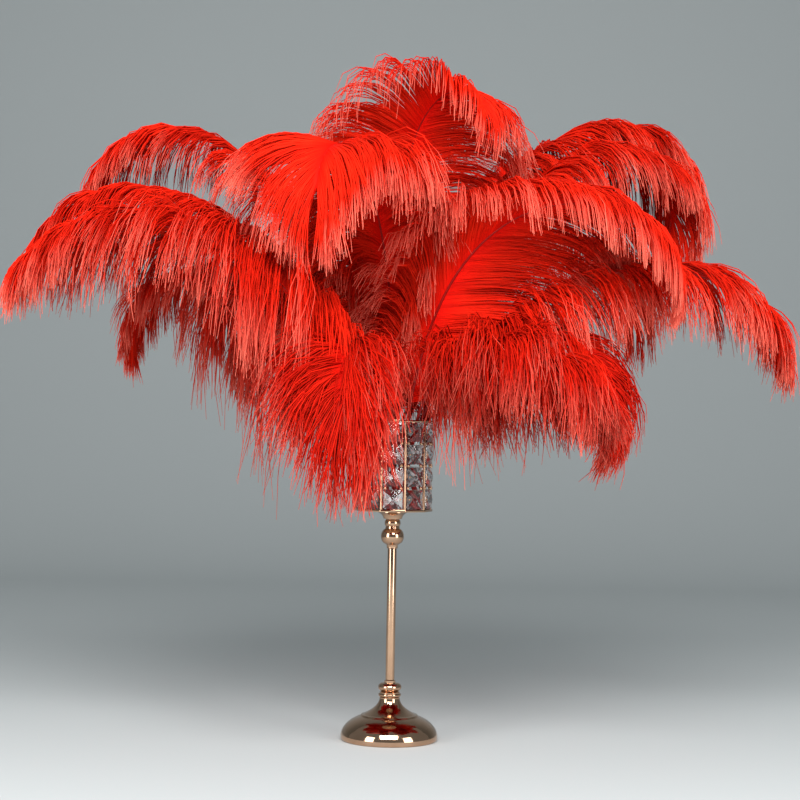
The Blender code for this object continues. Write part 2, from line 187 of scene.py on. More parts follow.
def mesh_piece(
    name: str,
    points: np.ndarray,
    faces: Sequence[Sequence[int]],
    material: Material,
    sharp_angle: float = CREASE,
) -> Object:
    """Makes a smooth-shaded mesh object whose sharper edges stay crisp.

    Args:
        name: The piece's name.
        points: Vertices in metres.
        faces: Vertex numbers of each face, anticlockwise from outside.
        material: The finish.
        sharp_angle: Degrees between faces above which their edge is shaded sharp.

    Returns:
        The object, at the origin.
    """
    mesh = bpy.data.meshes.new(name)
    mesh.from_pydata([tuple(p) for p in points], [], [tuple(f) for f in faces])
    mesh.validate()
    return dressed(name, mesh, material, sharp_angle)


def dressed(name: str, mesh: Mesh, material: Material, sharp_angle: float) -> Object:
    """Gives a mesh its shading and finish, and puts it in the scene.

    Args:
        name: The piece's name.
        mesh: Its mesh, in place.
        material: The finish.
        sharp_angle: Degrees between faces above which their edge is shaded sharp.

    Returns:
        The object, at the origin.
    """
    mesh.materials.clear()
    mesh.materials.append(material)
    mesh.shade_smooth()
    mesh.set_sharp_from_angle(angle=math.radians(sharp_angle))
    return placed(name, mesh)


def swept(
    profile: Sequence[Point], headings: Sequence[float]
) -> tuple[np.ndarray, list[tuple[int, ...]]]:
    """Carries a closed profile round the axis.

    Args:
        profile: Distances from the axis and heights, in metres.
        headings: Where it stops on its way, in radians.

    Returns:
        The points and the faces of the ring.
    """
    points = [(r * math.cos(a), r * math.sin(a), z) for a in headings for r, z in profile]
    size, faces = len(profile), []
    for stop in range(len(headings)):
        here, there = stop * size, (stop + 1) % len(headings) * size
        for k in range(size):
            after = (k + 1) % size
            faces.append((here + k, there + k, there + after, here + after))
    return np.array(points), faces


def from_bmesh(name: str, shape: BMesh, material: Material, sharp_angle: float = CREASE) -> Object:
    """Turns a closed bmesh into a dressed piece with its faces pointing outwards.

    Args:
        name: The piece's name.
        shape: The mesh, which is freed.
        material: The finish.
        sharp_angle: Degrees between faces above which their edge is shaded sharp.

    Returns:
        The object, at the origin.
    """
    bmesh.ops.recalc_face_normals(shape, faces=shape.faces)
    mesh = bpy.data.meshes.new(name)
    shape.to_mesh(mesh)
    shape.free()
    return dressed(name, mesh, material, sharp_angle)


def grown(source: Object, tree: NodeTree, values: dict[str, Any], name: str) -> Object:
    """Runs a geometry tree on an object and keeps the result as a plain mesh.

    Args:
        source: The object that the tree reads, which is removed afterwards.
        tree: The geometry node tree.
        values: Named inputs of the tree and what they are set to.
        name: The finished piece's name.

    Returns:
        The finished piece, at the origin and without modifiers.
    """
    modifier = source.modifiers.new("Grow", "NODES")
    modifier.node_group = tree
    identifiers = {
        item.name: item.identifier
        for item in tree.interface.items_tree
        if item.item_type == "SOCKET" and item.in_out == "INPUT"
    }
    for label, value in values.items():
        modifier[identifiers[label]] = value
    source.update_tag()
    graph = bpy.context.evaluated_depsgraph_get()
    mesh = bpy.data.meshes.new_from_object(source.evaluated_get(graph), depsgraph=graph)
    source.modifiers.clear()
    bpy.data.objects.remove(source, do_unlink=True)
    mesh.name = name
    return placed(name, mesh)


class Slot(Enum):
    """The material slots."""

    PLUME = "dyed_plume"
    METAL = "plated_metal"
    CRYSTAL = "crystal"


def kept(piece: Object, slot: Slot, *nodes: str) -> None:
    """Puts a finished piece on its body and hides the solids it stands for.

    Args:
        piece: The finished piece.
        slot: The material slot; not used.
        nodes: CAD nodes that it replaces.
    """
    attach(piece, BODY)
    if nodes:
        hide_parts(*nodes)
    LOG.info("%s: %d faces", piece.name, len(piece.data.polygons))


# ---- finishes ----


def relief(size_mm: float, depth_mm: float, strength: float, detail: float) -> tuple[Row, ...]:
    """Describes a fine relief all over a surface.

    Args:
        size_mm: Width of one ripple.
        depth_mm: Its depth.
        strength: How much of it is felt, up to 1.
        detail: How many finer layers it has.

    Returns:
        The rows place, grain and relief.
    """
    scale, depth = 1 / (size_mm * MM), depth_mm * MM
    return (
        ("place", PLACE, {}, {}),
        ("grain", NOISE, {}, {"Vector": "=place.Object", "Scale": scale, "Detail": detail}),
        ("relief", BUMP, {}, {"Strength": strength, "Distance": depth, "Height": "=grain"}),
    )


@dataclass(frozen=True)
class Finish:
    """A real material with its process, built once as a node material."""

    name: str

    def material(self) -> Material:
        """Returns the finish's material, building it the first time."""
        found = bpy.data.materials.get(self.name)
        if found is None:
            found = bpy.data.materials.new(self.name)
            found.use_nodes = True
            found.node_tree.nodes.clear()
            output = ("out", "ShaderNodeOutputMaterial", {}, {"Surface": "=surface"})
            self.tune(wire(found.node_tree, (*self.rows(), output)))
        return found

    def tune(self, nodes: dict[str, Node]) -> None:
        """Sets what a row can't say; most finishes have nothing of the kind."""

    def rows(self) -> Sequence[Row]:
        """Returns the finish's nodes, the last of them its shader, labelled surface."""
        raise NotImplementedError


@dataclass(frozen=True)
class BuffedRoseGoldPlate(Finish):
    """Brass castings and tube, electroplated in pale rose gold and buffed on a cloth wheel.

    The eye sees a warm mirror with brown darks, slightly clouded where hands have wiped it.
    """

    tone: str = "#CFAA8E"
    wiped_tone: str = "#B18C70"
    cloud_mm: float = 16.0
    clearest: float = 0.035  # roughness where nobody has wiped
    cloudiest: float = 0.11
    swirl_mm: float = 1.2  # real buffing marks are near 0.02 mm; drawn coarser so that they show
    swirl_depth_mm: float = 0.1

    def rows(self) -> Sequence[Row]:
        """Clouds the mirror with wiping marks and gives it a faint buffed ripple."""
        scale = 1 / (self.cloud_mm * MM)
        return (
            *relief(self.swirl_mm, self.swirl_depth_mm, 0.05, 2.0),
            ("cloud", NOISE, {}, {"Vector": "=place.Object", "Scale": scale, "Detail": 4.0}),
            ("colour", MIX, COLOUR, {"Factor_Float": "=cloud", "A_Color": linear(self.tone),
                                     "B_Color": linear(self.wiped_tone)}),
            ("rough", RANGE, {}, {"Value": "=cloud", "From Min": 0.3, "From Max": 0.75,
                                  "To Min": self.clearest, "To Max": self.cloudiest}),
            ("surface", SURFACE, {}, {"Metallic": 1.0, "Base Color": "=colour.Result_Color",
                                      "Roughness": "=rough", "Normal": "=relief"}),
        )


@dataclass(frozen=True)
class CutCrystal(Finish):
    """Lead-free crystal glass, pressed and flame-polished: clear, bright, with a soft waviness."""

    tone: str = "#FBF3F3"
    index: float = 1.55
    roughness: float = 0.015
    wave_mm: float = 7.0  # pressed facets are never quite flat
    wave_depth_mm: float = 0.2

    def rows(self) -> Sequence[Row]:
        """Makes plain clear glass whose facets ripple a little."""
        return (
            *relief(self.wave_mm, self.wave_depth_mm, 0.03, 1.0),
            ("surface", SURFACE, {}, {"Base Color": linear(self.tone), "Normal": "=relief",
                                      "Roughness": self.roughness, "IOR": self.index,
                                      "Transmission Weight": 1.0}),
        )


@dataclass(frozen=True)
class DyedBarbs(Finish):
    """Ostrich barbs, acid-dyed scarlet and steamed: velvety threads, with painted shade as a
    deeper red at the root.

    The salmon tips are a painted highlight; the deep tone that some strands mix in is painted
    shade as well as random tone.
    """

    # painted shade: the deeper red by the shaft
    root_shade_tone: str = "#F01206"
    body_tone: str = "#F02810"
    # painted highlight: the salmon of the lit tips
    tip_highlight_tone: str = "#FF846E"
    # painted shade per plume, as well as random deep tone between strands
    deep_and_shade_tone: str = "#9C0602"
    sheen_tone: str = "#FF6A50"
    root_end: float = 0.22  # share of the barb by which the root's painted shade has turned into the body tone
    tip_start: float = 0.7  # share of the barb where the tip's painted highlight begins
    deepest: float = 0.9  # share of the deep tone in the darkest strands, whose darkness is painted shade as well as random tone
    roughness: float = 0.62

    def rows(self) -> Sequence[Row]:
        """Colours each barb along its length and each strand by its own tint."""
        return (
            ("along", FIELD, {"attribute_name": "along"}, {}),
            ("tint", FIELD, {"attribute_name": "tint"}, {}),
            ("ramp", "ShaderNodeValToRGB", {}, {"Fac": "=along.Fac"}),
            # Low tints mix in the deep tone: painted shade per plume and random tone between
            # strands
            ("depth", RANGE, {}, {"Value": "=tint.Fac", "To Min": self.deepest, "To Max": 0.0}),
            ("colour", MIX, COLOUR, {"Factor_Float": "=depth", "A_Color": "=ramp",
                                     "B_Color": linear(self.deep_and_shade_tone)}),
            ("surface", SURFACE, {}, {"Base Color": "=colour.Result_Color",
                                      "Roughness": self.roughness, "Specular IOR Level": 0.05,
                                      "Sheen Weight": 0.04, "Sheen Roughness": 0.4,
                                      "Sheen Tint": linear(self.sheen_tone)}),
        )

    def tune(self, nodes: dict[str, Node]) -> None:
        """Sets the ramp's tones from the root's painted shade to the tip's painted highlight."""
        stops = nodes["ramp"].color_ramp.elements
        stops[0].color, stops[1].color = linear(self.root_shade_tone), linear(self.tip_highlight_tone)
        for place in (self.root_end, self.tip_start):
            stops.new(place).color = linear(self.body_tone)


@dataclass(frozen=True)
class DyedShaft(Finish):
    """The feather's keratin shaft, dyed with the barbs: dark red horn with a soft gloss."""

    tone: str = "#A80C04"
    groove_tone: str = "#7C0602"
    streak_mm: float = 0.9  # fine ribs of the horn, drawn twice as coarse as real
    shaft_radius_mm: float = 2.1
    streaks_along: float = 6.0

    def rows(self) -> Sequence[Row]:
        """Draws lengthwise streaks around the shaft."""
        streaks_around = 2 * math.pi * self.shaft_radius_mm / self.streak_mm
        return (
            ("around", FIELD, {"attribute_name": "around"}, {}),
            ("along", FIELD, {"attribute_name": "along"}, {}),
            ("place", "ShaderNodeCombineXYZ", {}, {"X": "=around.Fac", "Y": "=along.Fac"}),
            ("stretched", "ShaderNodeMapping", {}, {
                "Vector": "=place", "Scale": (streaks_around, self.streaks_along, 1.0)}),
            ("streaks", NOISE, {}, {"Vector": "=stretched", "Scale": 1.0, "Detail": 2.0}),
            ("colour", MIX, COLOUR, {"Factor_Float": "=streaks", "A_Color": linear(self.tone),
                                     "B_Color": linear(self.groove_tone)}),
            ("surface", SURFACE, {}, {"Base Color": "=colour.Result_Color", "Roughness": 0.5,
                                      "Specular IOR Level": 0.3}),
        )


@dataclass(frozen=True)
class MattePaper(Finish):
    """Uncoated backdrop paper off the roll: pale grey, dull, with a faint tooth."""

    tone: str = "#C3C8C8"
    tooth_mm: float = 2.5  # paper fibres are near 0.05 mm; drawn coarser so that they show
    tooth_depth_mm: float = 0.3

    def rows(self) -> Sequence[Row]:
        """Gives the paper its tooth."""
        return (
            *relief(self.tooth_mm, self.tooth_depth_mm, 0.08, 2.0),
            ("surface", SURFACE, {}, {"Base Color": linear(self.tone), "Roughness": 0.7,
                                      "Normal": "=relief"}),
        )


PLATE = BuffedRoseGoldPlate("rose_gold_electroplate_buffed")
CRYSTAL = CutCrystal("crystal_glass_pressed_flame_polished")
BARBS = DyedBarbs("ostrich_barbs_acid_dyed_scarlet")
SHAFT = DyedShaft("feather_shaft_keratin_dyed")
PAPER = MattePaper("matte_paper_sweep")


# ---- the turned stand ----


def bezier(
    start: Point, pull_start: Point, pull_end: Point, end: Point, count: int = 20
) -> list[Point]:
    """Reads points off a cubic Bezier, leaving its first point out.

    Args:
        start: First point.
        pull_start: The handle at the start.
        pull_end: The handle at the end.
        end: Last point.
        count: How many points.

    Returns:
        The points, the last of them the end.
    """
    t = np.arange(1, count + 1)[:, None] / count
    points = (
        (1 - t) ** 3 * np.array(start)
        + 3 * (1 - t) ** 2 * t * np.array(pull_start)
        + 3 * (1 - t) * t**2 * np.array(pull_end)
        + t**3 * np.array(end)
    )
    return [(float(r), float(z)) for r, z in points]


def bulge(
    radius: float,
    height: float,
    half_height: float,
    waist: float,
    start: float,
    end: float,
    count: int = 22,
) -> list[Point]:
    """Reads points down an oval bulge, whose angles run from 90 degrees at its top to -90.

    Args:
        radius: Widest radius.
        height: Height of the widest place.
        half_height: Half the oval's height.
        waist: Radius that the oval is centred on.
        start: First angle.
        end: Last angle.
        count: How many points.

    Returns:
        The points from top to bottom.
    """
    angles = np.radians(np.linspace(start, end, count))
    return [
        (waist + (radius - waist) * math.cos(a), height + half_height * math.sin(a))
        for a in angles
    ]


@dataclass(frozen=True)
class TurnedStand:
    """The foot, knops, stem and collar, turned in one profile each; sizes are in mm."""

    foot_radius: float = 58.0
    foot_top: float = 51.0
    stem_radius: float = 5.4
    stem_foot: float = 71.0
    stem_top: float = 228.0
    knop_top: float = 263.3
    cup_bottom: float = 273.0
    gap: float = 0.3
    lip: float = 0.35  # small rounding that a cast edge keeps after buffing
    steps: int = 96
    crease: float = 40.0

    def foot(self) -> list[Point]:
        """Returns the foot's outline: a swept neck, a step and a domed rim."""
        radius, top, lip = self.foot_radius, self.foot_top, self.lip
        outline = [(0, top), (12.0 - lip, top), (12.0, top - lip), (12.0, top - 1.0)]
        outline += bezier((12.0, top - 1.0), (12.4, 42), (20, 36), (31.5, 30.5), 30)
        outline += [(32.6, 30.4), (33.5, 30.2), (34.0, 29.7)]
        outline += [(34.4, 28.9), (34.8, 28.4)]
        outline += bezier((34.8, 28.4), (46, 24.5), (56.5, 17), (radius, 6.0), 34)
        outline += bezier((radius, 6.0), (radius, 5.0), (radius, 4.2), (radius, 3.2), 3)
        outline += bezier((radius, 3.2), (radius, 1.4), (radius - 0.6, 0.3), (radius - 2.2, 0), 6)
        return outline + [(0, 0)]

    def lower_knop(self) -> list[Point]:
        """Returns the ball above the foot, with its grooves and rings."""
        bottom, top, lip = self.foot_top + self.gap, self.stem_foot, self.lip
        outline = [(0, top), (6.7 - lip, top), (6.7, top - lip), (6.7, top - 3.0)]
        outline += bulge(14.0, 62.8, 5.2, 8.0, 75, -70)
        outline += [(12.2, 56.8), (12.1, 56.2), (12.2, 55.6)]
        outline += [(13.2, 55.1), (13.5, 54.6), (13.5, 52.8), (13.2, 52.1)]
        return outline + [(12.0, bottom), (0, bottom)]

    def stem(self) -> list[Point]:
        """Returns the plain tube's outline."""
        radius, bottom, top = self.stem_radius, self.stem_foot + self.gap, self.stem_top
        lip = self.lip
        return [(0, top), (radius - lip, top), (radius, top - lip), (radius, bottom + lip),
                (radius - lip, bottom), (0, bottom)]

    def upper_knop(self) -> list[Point]:
        """Returns the ring, the egg-shaped knop and the small neck under the cup."""
        bottom, top, lip = self.stem_top + self.gap, self.knop_top, self.lip
        outline = [(0, top), (8.4 - lip, top), (8.4, top - lip)]
        outline += bulge(9.6, 258.6, 4.2, 7.4, 70, -70)
        outline += bulge(13.8, 242.6, 9.6, 7.0, 75, -50)
        outline += [(8.2, 233.2), (7.0, 232.6), (6.6, 231.8), (6.6, bottom + lip)]
        return outline + [(6.6 - lip, bottom), (0, bottom)]

    def collar(self) -> list[Point]:
        """Returns the flared collar that carries the cup."""
        bottom, top, lip = self.knop_top + self.gap, self.cup_bottom - self.gap, self.lip
        outline = [(0, top), (18.0 - lip, top), (18.0, top - lip), (18.0, top - 1.4)]
        outline += bezier((18.0, top - 1.4), (14.5, 270.0), (12.0, 268.0), (11.0, bottom), 14)
        return outline + [(0, bottom)]

    def turned(self, name: str, outline: Sequence[Point]) -> Object:
        """Turns an outline round the axis into a closed shell.

        Args:
            name: The piece's name.
            outline: Radius and height in mm, from the axis at the top to the axis below.

        Returns:
            The finished piece.
        """
        turn = np.arange(self.steps) * 2 * math.pi / self.steps
        rings = [np.stack([r * np.cos(turn), r * np.sin(turn), np.full(self.steps, z)], 1)
                 for r, z in outline[1:-1]]
        top, bottom = np.array([[0, 0, outline[0][1]]]), np.array([[0, 0, outline[-1][1]]])
        points = np.concatenate([top, *rings, bottom]) * MM
        last = len(points) - 1
        faces: list[tuple[int, ...]] = []
        for k in range(self.steps):
            after = (k + 1) % self.steps
            faces.append((0, 1 + k, 1 + after))
            for ring in range(len(rings) - 1):
                high, low = 1 + ring * self.steps, 1 + (ring + 1) * self.steps
                faces.append((high + k, low + k, low + after, high + after))
            lowest = 1 + (len(rings) - 1) * self.steps
            faces.append((lowest + k, last, lowest + after))
        return mesh_piece(name, points, faces, PLATE.material(), self.crease)

    def build(self) -> None:
        """Makes every turned piece in place of its plainer solid."""
        for node, outline in (
            ("foot", self.foot()),
            ("lower_knop", self.lower_knop()),
            ("stem_tube", self.stem()),
            ("upper_knop", self.upper_knop()),
            ("cup_collar", self.collar()),
        ):
            kept(self.turned(f"{node}_polished", outline), Slot.METAL, node)


# ---- the crystal cup ----


def repeat_tree() -> NodeTree:
    """Builds the tree that sets one small shape at every point, turned by the point's heading.

    Returns:
        The tree, with named inputs Shape and Finish.
    """
    sockets = (("Shape", "NodeSocketObject", None), ("Finish", "NodeSocketMaterial", None))
    return growing_tree("repeat_on_points", sockets, (
        ("shape", "GeometryNodeObjectInfo", {"transform_space": "ORIGINAL"},
         {"Object": "=given.Shape"}),
        ("turn", READ, ARROW, {"Name": "turn"}),
        ("placed", "GeometryNodeInstanceOnPoints", {}, {
            "Points": "=given", "Instance": "=shape.Geometry", "Rotation": "=turn"}),
        ("real", "GeometryNodeRealizeInstances", {}, {"Geometry": "=placed"}),
        ("grown", FINISH, {}, {"Geometry": "=real", "Material": "=given.Finish"}),
    ))


@dataclass(frozen=True)
class CrystalCup:
    """The ten-sided cage with its rings and pins, and its columns of square beads; in metres."""

    sides: int = 10
    bar_circle: float = 0.0448
    bar_width: float = 0.0026
    cup_bottom: float = 0.273
    floor: float = 0.003
    rim_height: float = 0.0026
    rim_wall: float = 0.003
    rows: int = 4
    bead_side: float = 0.0232
    bead_pitch: float = 0.0265
    bead_edge: float = 0.0024
    bead_front: float = 0.0055
    bead_back: float = 0.0028
    bead_bevel: float = 0.0008
    link_inset: float = 0.0022
    link_radius: float = 0.0021
    link_ring: float = 0.0021
    link_wire: float = 0.00042
    ring_lift: float = 0.0008
    edge_round: float = 0.0006
    edge_flank: float = 0.3  # where the rim's rounded edge is widest, as a share of its size
    brazed: float = 0.001  # how far a bar runs into the floor and the rim
    floor_reach: float = 0.0027  # how far the floor's corners stand out past the bars' middles
    rim_reach: float = 0.0018
    bar_round: float = 0.42  # share of a bar's width that its rounded corners take
    pin_inset: float = 0.0030
    pin_rise: float = 0.26  # how far up a bead's facets its pins sit
    edge_shrink: float = 0.965  # the bead's softened edge, as a share of its girdle
    front_soft: float = 0.0005
    back_soft: float = 0.0003
    crisp: float = 80.0  # degrees above which the small fittings' edges are shaded sharp
    pin_radius: float = 0.00125
    gap: float = 0.0003

    @property
    def floor_top(self) -> float:
        """Height of the cage floor's top."""
        return self.cup_bottom + self.floor

    @property
    def rim_foot(self) -> float:
        """Height of the rim band's lower edge."""
        return self.bead_foot + (self.rows - 1) * self.bead_pitch + self.bead_side + self.gap

    @property
    def bead_foot(self) -> float:
        """Height of the lowest bead's lower edge."""
        return self.floor_top + self.gap

    @property
    def apothem(self) -> float:
        """Distance from the axis to the middle of a side."""
        return self.bar_circle * math.cos(math.pi / self.sides)

    @property
    def bead_heights(self) -> list[float]:
        """Heights of the beads' middles, from the lowest row up."""
        first = self.bead_foot + self.bead_side / 2
        return [first + row * self.bead_pitch for row in range(self.rows)]

    @property
    def joint_heights(self) -> list[float]:
        """Heights of the gaps between the rows of beads."""
        half_gap = (self.bead_pitch - self.bead_side) / 2
        return [self.bead_foot + row * self.bead_pitch - half_gap for row in range(1, self.rows)]

    def side_heading(self, side: float) -> float:
        """Returns the heading of a side's middle; side 0 faces the front, halves are corners."""
        return -math.pi / 2 + side * 2 * math.pi / self.sides

    def upright(self, side: float, out: float, across: float, height: float) -> Matrix:
        """Returns the place of something on a side, turned so that its -Y faces outwards.

        Args:
            side: Number of the side, or a half for a corner.
            out: Distance from the axis.
            across: Shift to the right, seen from outside.
            height: Height above the ground.

        Returns:
            Its transform.
        """
        turn = Matrix.Rotation(self.side_heading(side) + math.pi / 2, 4, "Z")
        return turn @ Matrix.Translation((across, -out, height))

    def prism(self, shape: BMesh, radius: float, bottom: float, top: float) -> None:
        """Adds a ten-sided plate with rounded upper and lower edges.

        Args:
            shape: The mesh that gets it.
            radius: Distance from the axis to a corner.
            bottom: Height of its underside.
            top: Height of its top.
        """
        turn = Matrix.Rotation(self.side_heading(0.5) - math.pi / 2, 4, "Z")
        made = bmesh.ops.create_cone(
            shape, cap_ends=True, segments=self.sides, radius1=radius, radius2=radius,
            depth=top - bottom, matrix=Matrix.Translation((0, 0, (top + bottom) / 2)) @ turn,
        )
        edges = list({edge for v in made["verts"] for edge in v.link_edges})
        bmesh.ops.bevel(
            shape, geom=edges, offset=self.edge_round, segments=2, profile=0.5, affect="EDGES",
            clamp_overlap=True,
        )

    def band(self, shape: BMesh, radius: float, bottom: float, top: float) -> None:
        """Adds the rim, a ten-sided band with rounded edges.

        Args:
            shape: The mesh that gets it.
            radius: Distance from the axis to an outer corner.
            bottom: Height of its lower edge.
            top: Height of its upper edge.
        """
        cut, slight = self.edge_round, self.edge_round * self.edge_flank
        inner = radius - self.rim_wall / math.cos(math.pi / self.sides)
        profile = [
            (radius, bottom + cut), (radius, top - cut), (radius - slight, top - slight),
            (radius - cut, top), (inner + cut, top), (inner + slight, top - slight),
            (inner, top - cut), (inner, bottom + cut), (inner + slight, bottom + slight),
            (inner + cut, bottom), (radius - cut, bottom), (radius - slight, bottom + slight),
        ]
        points, faces = swept(profile, [self.side_heading(k + 0.5) for k in range(self.sides)])
        corners = [shape.verts.new(point) for point in points]
        for face in faces:
            shape.faces.new([corners[k] for k in face])

    def rod(self, shape: BMesh, place: Matrix, width: float, depth: float, length: float) -> None:
        """Adds an upright bar with rounded corners.

        Args:
            shape: The mesh that gets it.
            place: The bar's middle.
            width: Size across.
            depth: Size towards the axis.
            length: Height.
        """
        size = Matrix.Diagonal((width, depth, length, 1))
        made = bmesh.ops.create_cube(shape, size=1.0, matrix=place @ size)
        edges = [
            edge
            for edge in {e for v in made["verts"] for e in v.link_edges}
            if abs((edge.verts[0].co - edge.verts[1].co).normalized().z) > 0.9
        ]
        bmesh.ops.bevel(
            shape, geom=edges, offset=width * self.bar_round, segments=4, profile=0.5,
            affect="EDGES",
        )

    def cage(self) -> Object:
        """Makes the floor, the ten bars and the rim as one brazed frame."""
        shape = bmesh.new()
        self.prism(shape, self.bar_circle + self.floor_reach, self.cup_bottom, self.floor_top)
        length = self.rim_foot - self.floor_top + 2 * self.brazed
        middle = (self.floor_top + self.rim_foot) / 2
        for corner in range(self.sides):
            place = self.upright(corner + 0.5, self.bar_circle, 0, middle)
            self.rod(shape, place, self.bar_width, self.bar_width, length)
        rim_top = self.rim_foot + self.rim_height
        self.band(shape, self.bar_circle + self.rim_reach, self.rim_foot, rim_top)
        return from_bmesh("cup_cage", shape, PLATE.material())

    def ring_shape(self, around: int = 14, across: int = 6) -> Object:
        """Makes one wire ring, lying round a bar, as the master of all of them.

        Args:
            around: Steps round the ring.
            across: Steps round its wire.

        Returns:
            The master.
        """
        turns = [j * 2 * math.pi / across for j in range(across)]
        wire = [(self.link_ring + self.link_wire * math.cos(b), self.link_wire * math.sin(b))
                for b in turns]
        points, faces = swept(wire, [i * 2 * math.pi / around for i in range(around)])
        return mesh_piece("ring_master", points, faces, PLATE.material(), self.crisp)

    def ball(self, name: str, around: int, upwards: int, radius: float, pressed: Matrix) -> Object:
        """Makes one small plated ball, pressed flatter, as the master of all of its kind.

        Args:
            name: The master's name.
            around: Its steps round.
            upwards: Its steps from pole to pole.
            radius: Its radius before it is pressed.
            pressed: How it is scaled and turned.

        Returns:
            The master.
        """
        shape = bmesh.new()
        bmesh.ops.create_uvsphere(
            shape, u_segments=around, v_segments=upwards, radius=radius, matrix=pressed
        )
        return from_bmesh(name, shape, PLATE.material(), self.crisp)

    def bead_shape(self) -> Object:
        """Makes the master bead: a square girdle with cut corners, eight facets on each face."""
        shape = bmesh.new()
        half, edge = self.bead_side / 2, self.bead_edge / 2
        inner = half - self.bead_bevel
        corners = [(-inner, -half), (inner, -half), (half, -inner), (half, inner),
                   (inner, half), (-inner, half), (-half, inner), (-half, -inner)]
        turns = [(k, (k + 1) % len(corners)) for k in range(len(corners))]
        rings = [
            [shape.verts.new((x * scale, y, z * scale)) for x, z in corners]
            for scale, y in ((self.edge_shrink, -edge - self.front_soft), (1.0, -edge),
                             (1.0, edge), (self.edge_shrink, edge + self.back_soft))
        ]
        for near, far in zip(rings, rings[1:]):
            for k, after in turns:
                shape.faces.new((near[k], near[after], far[after], far[k]))
        for ring, y in ((rings[0], -(edge + self.bead_front)), (rings[-1], edge + self.bead_back)):
            tip = shape.verts.new((0, y, 0))
            for k, after in turns:
                shape.faces.new((ring[k], ring[after], tip))
        return from_bmesh("bead_master", shape, CRYSTAL.material(), 1.0)

    def scattered(
        self,
        tree: NodeTree,
        master: Object,
        places: Sequence[Matrix],
        material: Material,
        name: str,
    ) -> Object:
        """Sets a copy of a master at every place, as one plain mesh.

        Args:
            tree: The repeating tree.
            master: The shape to repeat.
            places: Where the copies stand.
            material: Their finish.
            name: The piece's name.

        Returns:
            The finished piece.
        """
        mesh = bpy.data.meshes.new(name)
        mesh.from_pydata([tuple(p.translation) for p in places], [], [])
        turn = mesh.attributes.new("turn", "FLOAT_VECTOR", "POINT")
        turn.data.foreach_set("vector", [a for p in places for a in p.to_euler()])
        source = placed(name + "_places", mesh)
        piece = grown(source, tree, {"Shape": master, "Finish": material}, name)
        for attribute in [a for a in piece.data.attributes if a.name == "turn"]:
            piece.data.attributes.remove(attribute)
        return piece

    def spots(
        self, sides: Sequence[float], out: float, shifts: Sequence[float], heights: Sequence[float]
    ) -> list[Matrix]:
        """Returns places round the cup, counted by side, then height, then shift.

        Args:
            sides: Numbers of the sides, or halves for corners.
            out: Distance from the axis.
            shifts: Shifts to the right, seen from outside.
            heights: Heights above the ground.

        Returns:
            One transform each.
        """
        return [self.upright(side, out, shift, height)
                for side in sides for height in heights for shift in shifts]

    def build(self) -> None:
        """Makes the cage, its rings and pins, and ten columns of beads."""
        tree, plate, crystal = repeat_tree(), PLATE.material(), CRYSTAL.material()
        kept(self.cage(), Slot.METAL, "cup_frame")
        domed = Matrix.Rotation(math.pi / 2, 4, "X") @ Matrix.Diagonal((1, 1, 0.7, 1))
        ring, bead = self.ring_shape(), self.bead_shape()
        pin = self.ball("pin_master", 10, 6, self.pin_radius, domed)
        link = self.ball("link_master", 12, 8, self.link_radius, Matrix.Diagonal((1, 0.9, 1.1, 1)))

        sides, corners = range(self.sides), [side + 0.5 for side in range(self.sides)]
        facet = self.apothem + self.bead_edge / 2 + self.bead_front * self.pin_rise
        ends = [h + lift for h in self.joint_heights for lift in (-self.ring_lift, self.ring_lift)]
        to_pin, to_link = self.bead_side / 2 - self.pin_inset, self.bead_side / 2 - self.link_inset
        for name, master, places in (
            ("bar_rings", ring, self.spots(corners, self.bar_circle, (0,), ends)),
            ("bead_pins", pin, self.spots(sides, facet, (-to_pin, to_pin), self.bead_heights)),
            ("bead_links", link,
             self.spots(sides, self.apothem, (-to_link, to_link), self.joint_heights)),
        ):
            kept(self.scattered(tree, master, places, plate, name), Slot.METAL)
        for side in sides:
            places = self.spots((side,), self.apothem, (0,), self.bead_heights)
            column = self.scattered(tree, bead, places, crystal, f"bead_column_{side + 1:02d}")
            kept(column, Slot.CRYSTAL, f"crystal_column_{side + 1:02d}")
        for master in (ring, pin, bead, link):
            bpy.data.objects.remove(master, do_unlink=True)


# ---- the plumes ----


@dataclass(frozen=True)
class Fill:
    """How many locks a side has, barbs a lock, and points a barb."""

    locks: int
    barbs: int
    points: int


class Fullness(Enum):
    """How closely a plume's barbs are drawn."""

    FRONT = Fill(78, 11, 7)
    AIRY = Fill(78, 8, 7)
    MIDDLE = Fill(70, 9, 6)
    BACK = Fill(54, 8, 6)


@dataclass(frozen=True)
class Plume:
    """One plume: how its quill stands in the cup, how its shaft arches and how its barbs hang."""

    name: str
    heading: float  # degrees, the way the quill leans: 0 is +X, 90 is +Y
    sweep: float  # degrees by which the heading has turned at the tip
    lean: float  # degrees from upright in the cup
    droop: float  # degrees from upright at the tip
    stiffness: float  # a higher value keeps the shaft straight for longer
    length: float  # from the mouth of the cup to the tip
    ring: float  # distance from the axis at the waist
    barb: float  # longest barb
    limpness: float  # how far the barbs hang under their own weight
    curl: float  # how far they curl towards the hollow side
    fullness: Fullness
    foot_twist: float = 0.0  # degrees that the vane is turned about its shaft at the cup
    tip_twist: float = 0.0  # the same at the tip
    hook: float = 0.0  # how sharply the barbs' ends turn down
    low: float = 0.5  # how much more the barbs near the cup hang
    unruly: float = 1.0  # how loose and wavy the barbs are
    fan: float = 62.0  # degrees between the shaft and the lowest barbs
    skew: float = 0.0  # degrees by which the left side's barbs lie closer to the shaft
    base: float = 0.75  # the lowest barbs' length, as a share of the usual one
    settled: float = 0.3  # where along the vane the barbs reach the usual length
    slack: float = 0.0  # share by which the left side's barbs hang more, the right side's less
    bare: float = 0.05  # share of the free shaft, from the cup up, that carries no barbs
    tip: float = 0.5  # the last barbs' length, as a share of the longest
    painted_lightness: float = 0.72  # painted light and shade of the whole plume: 0 is the deepest red, 1 the palest
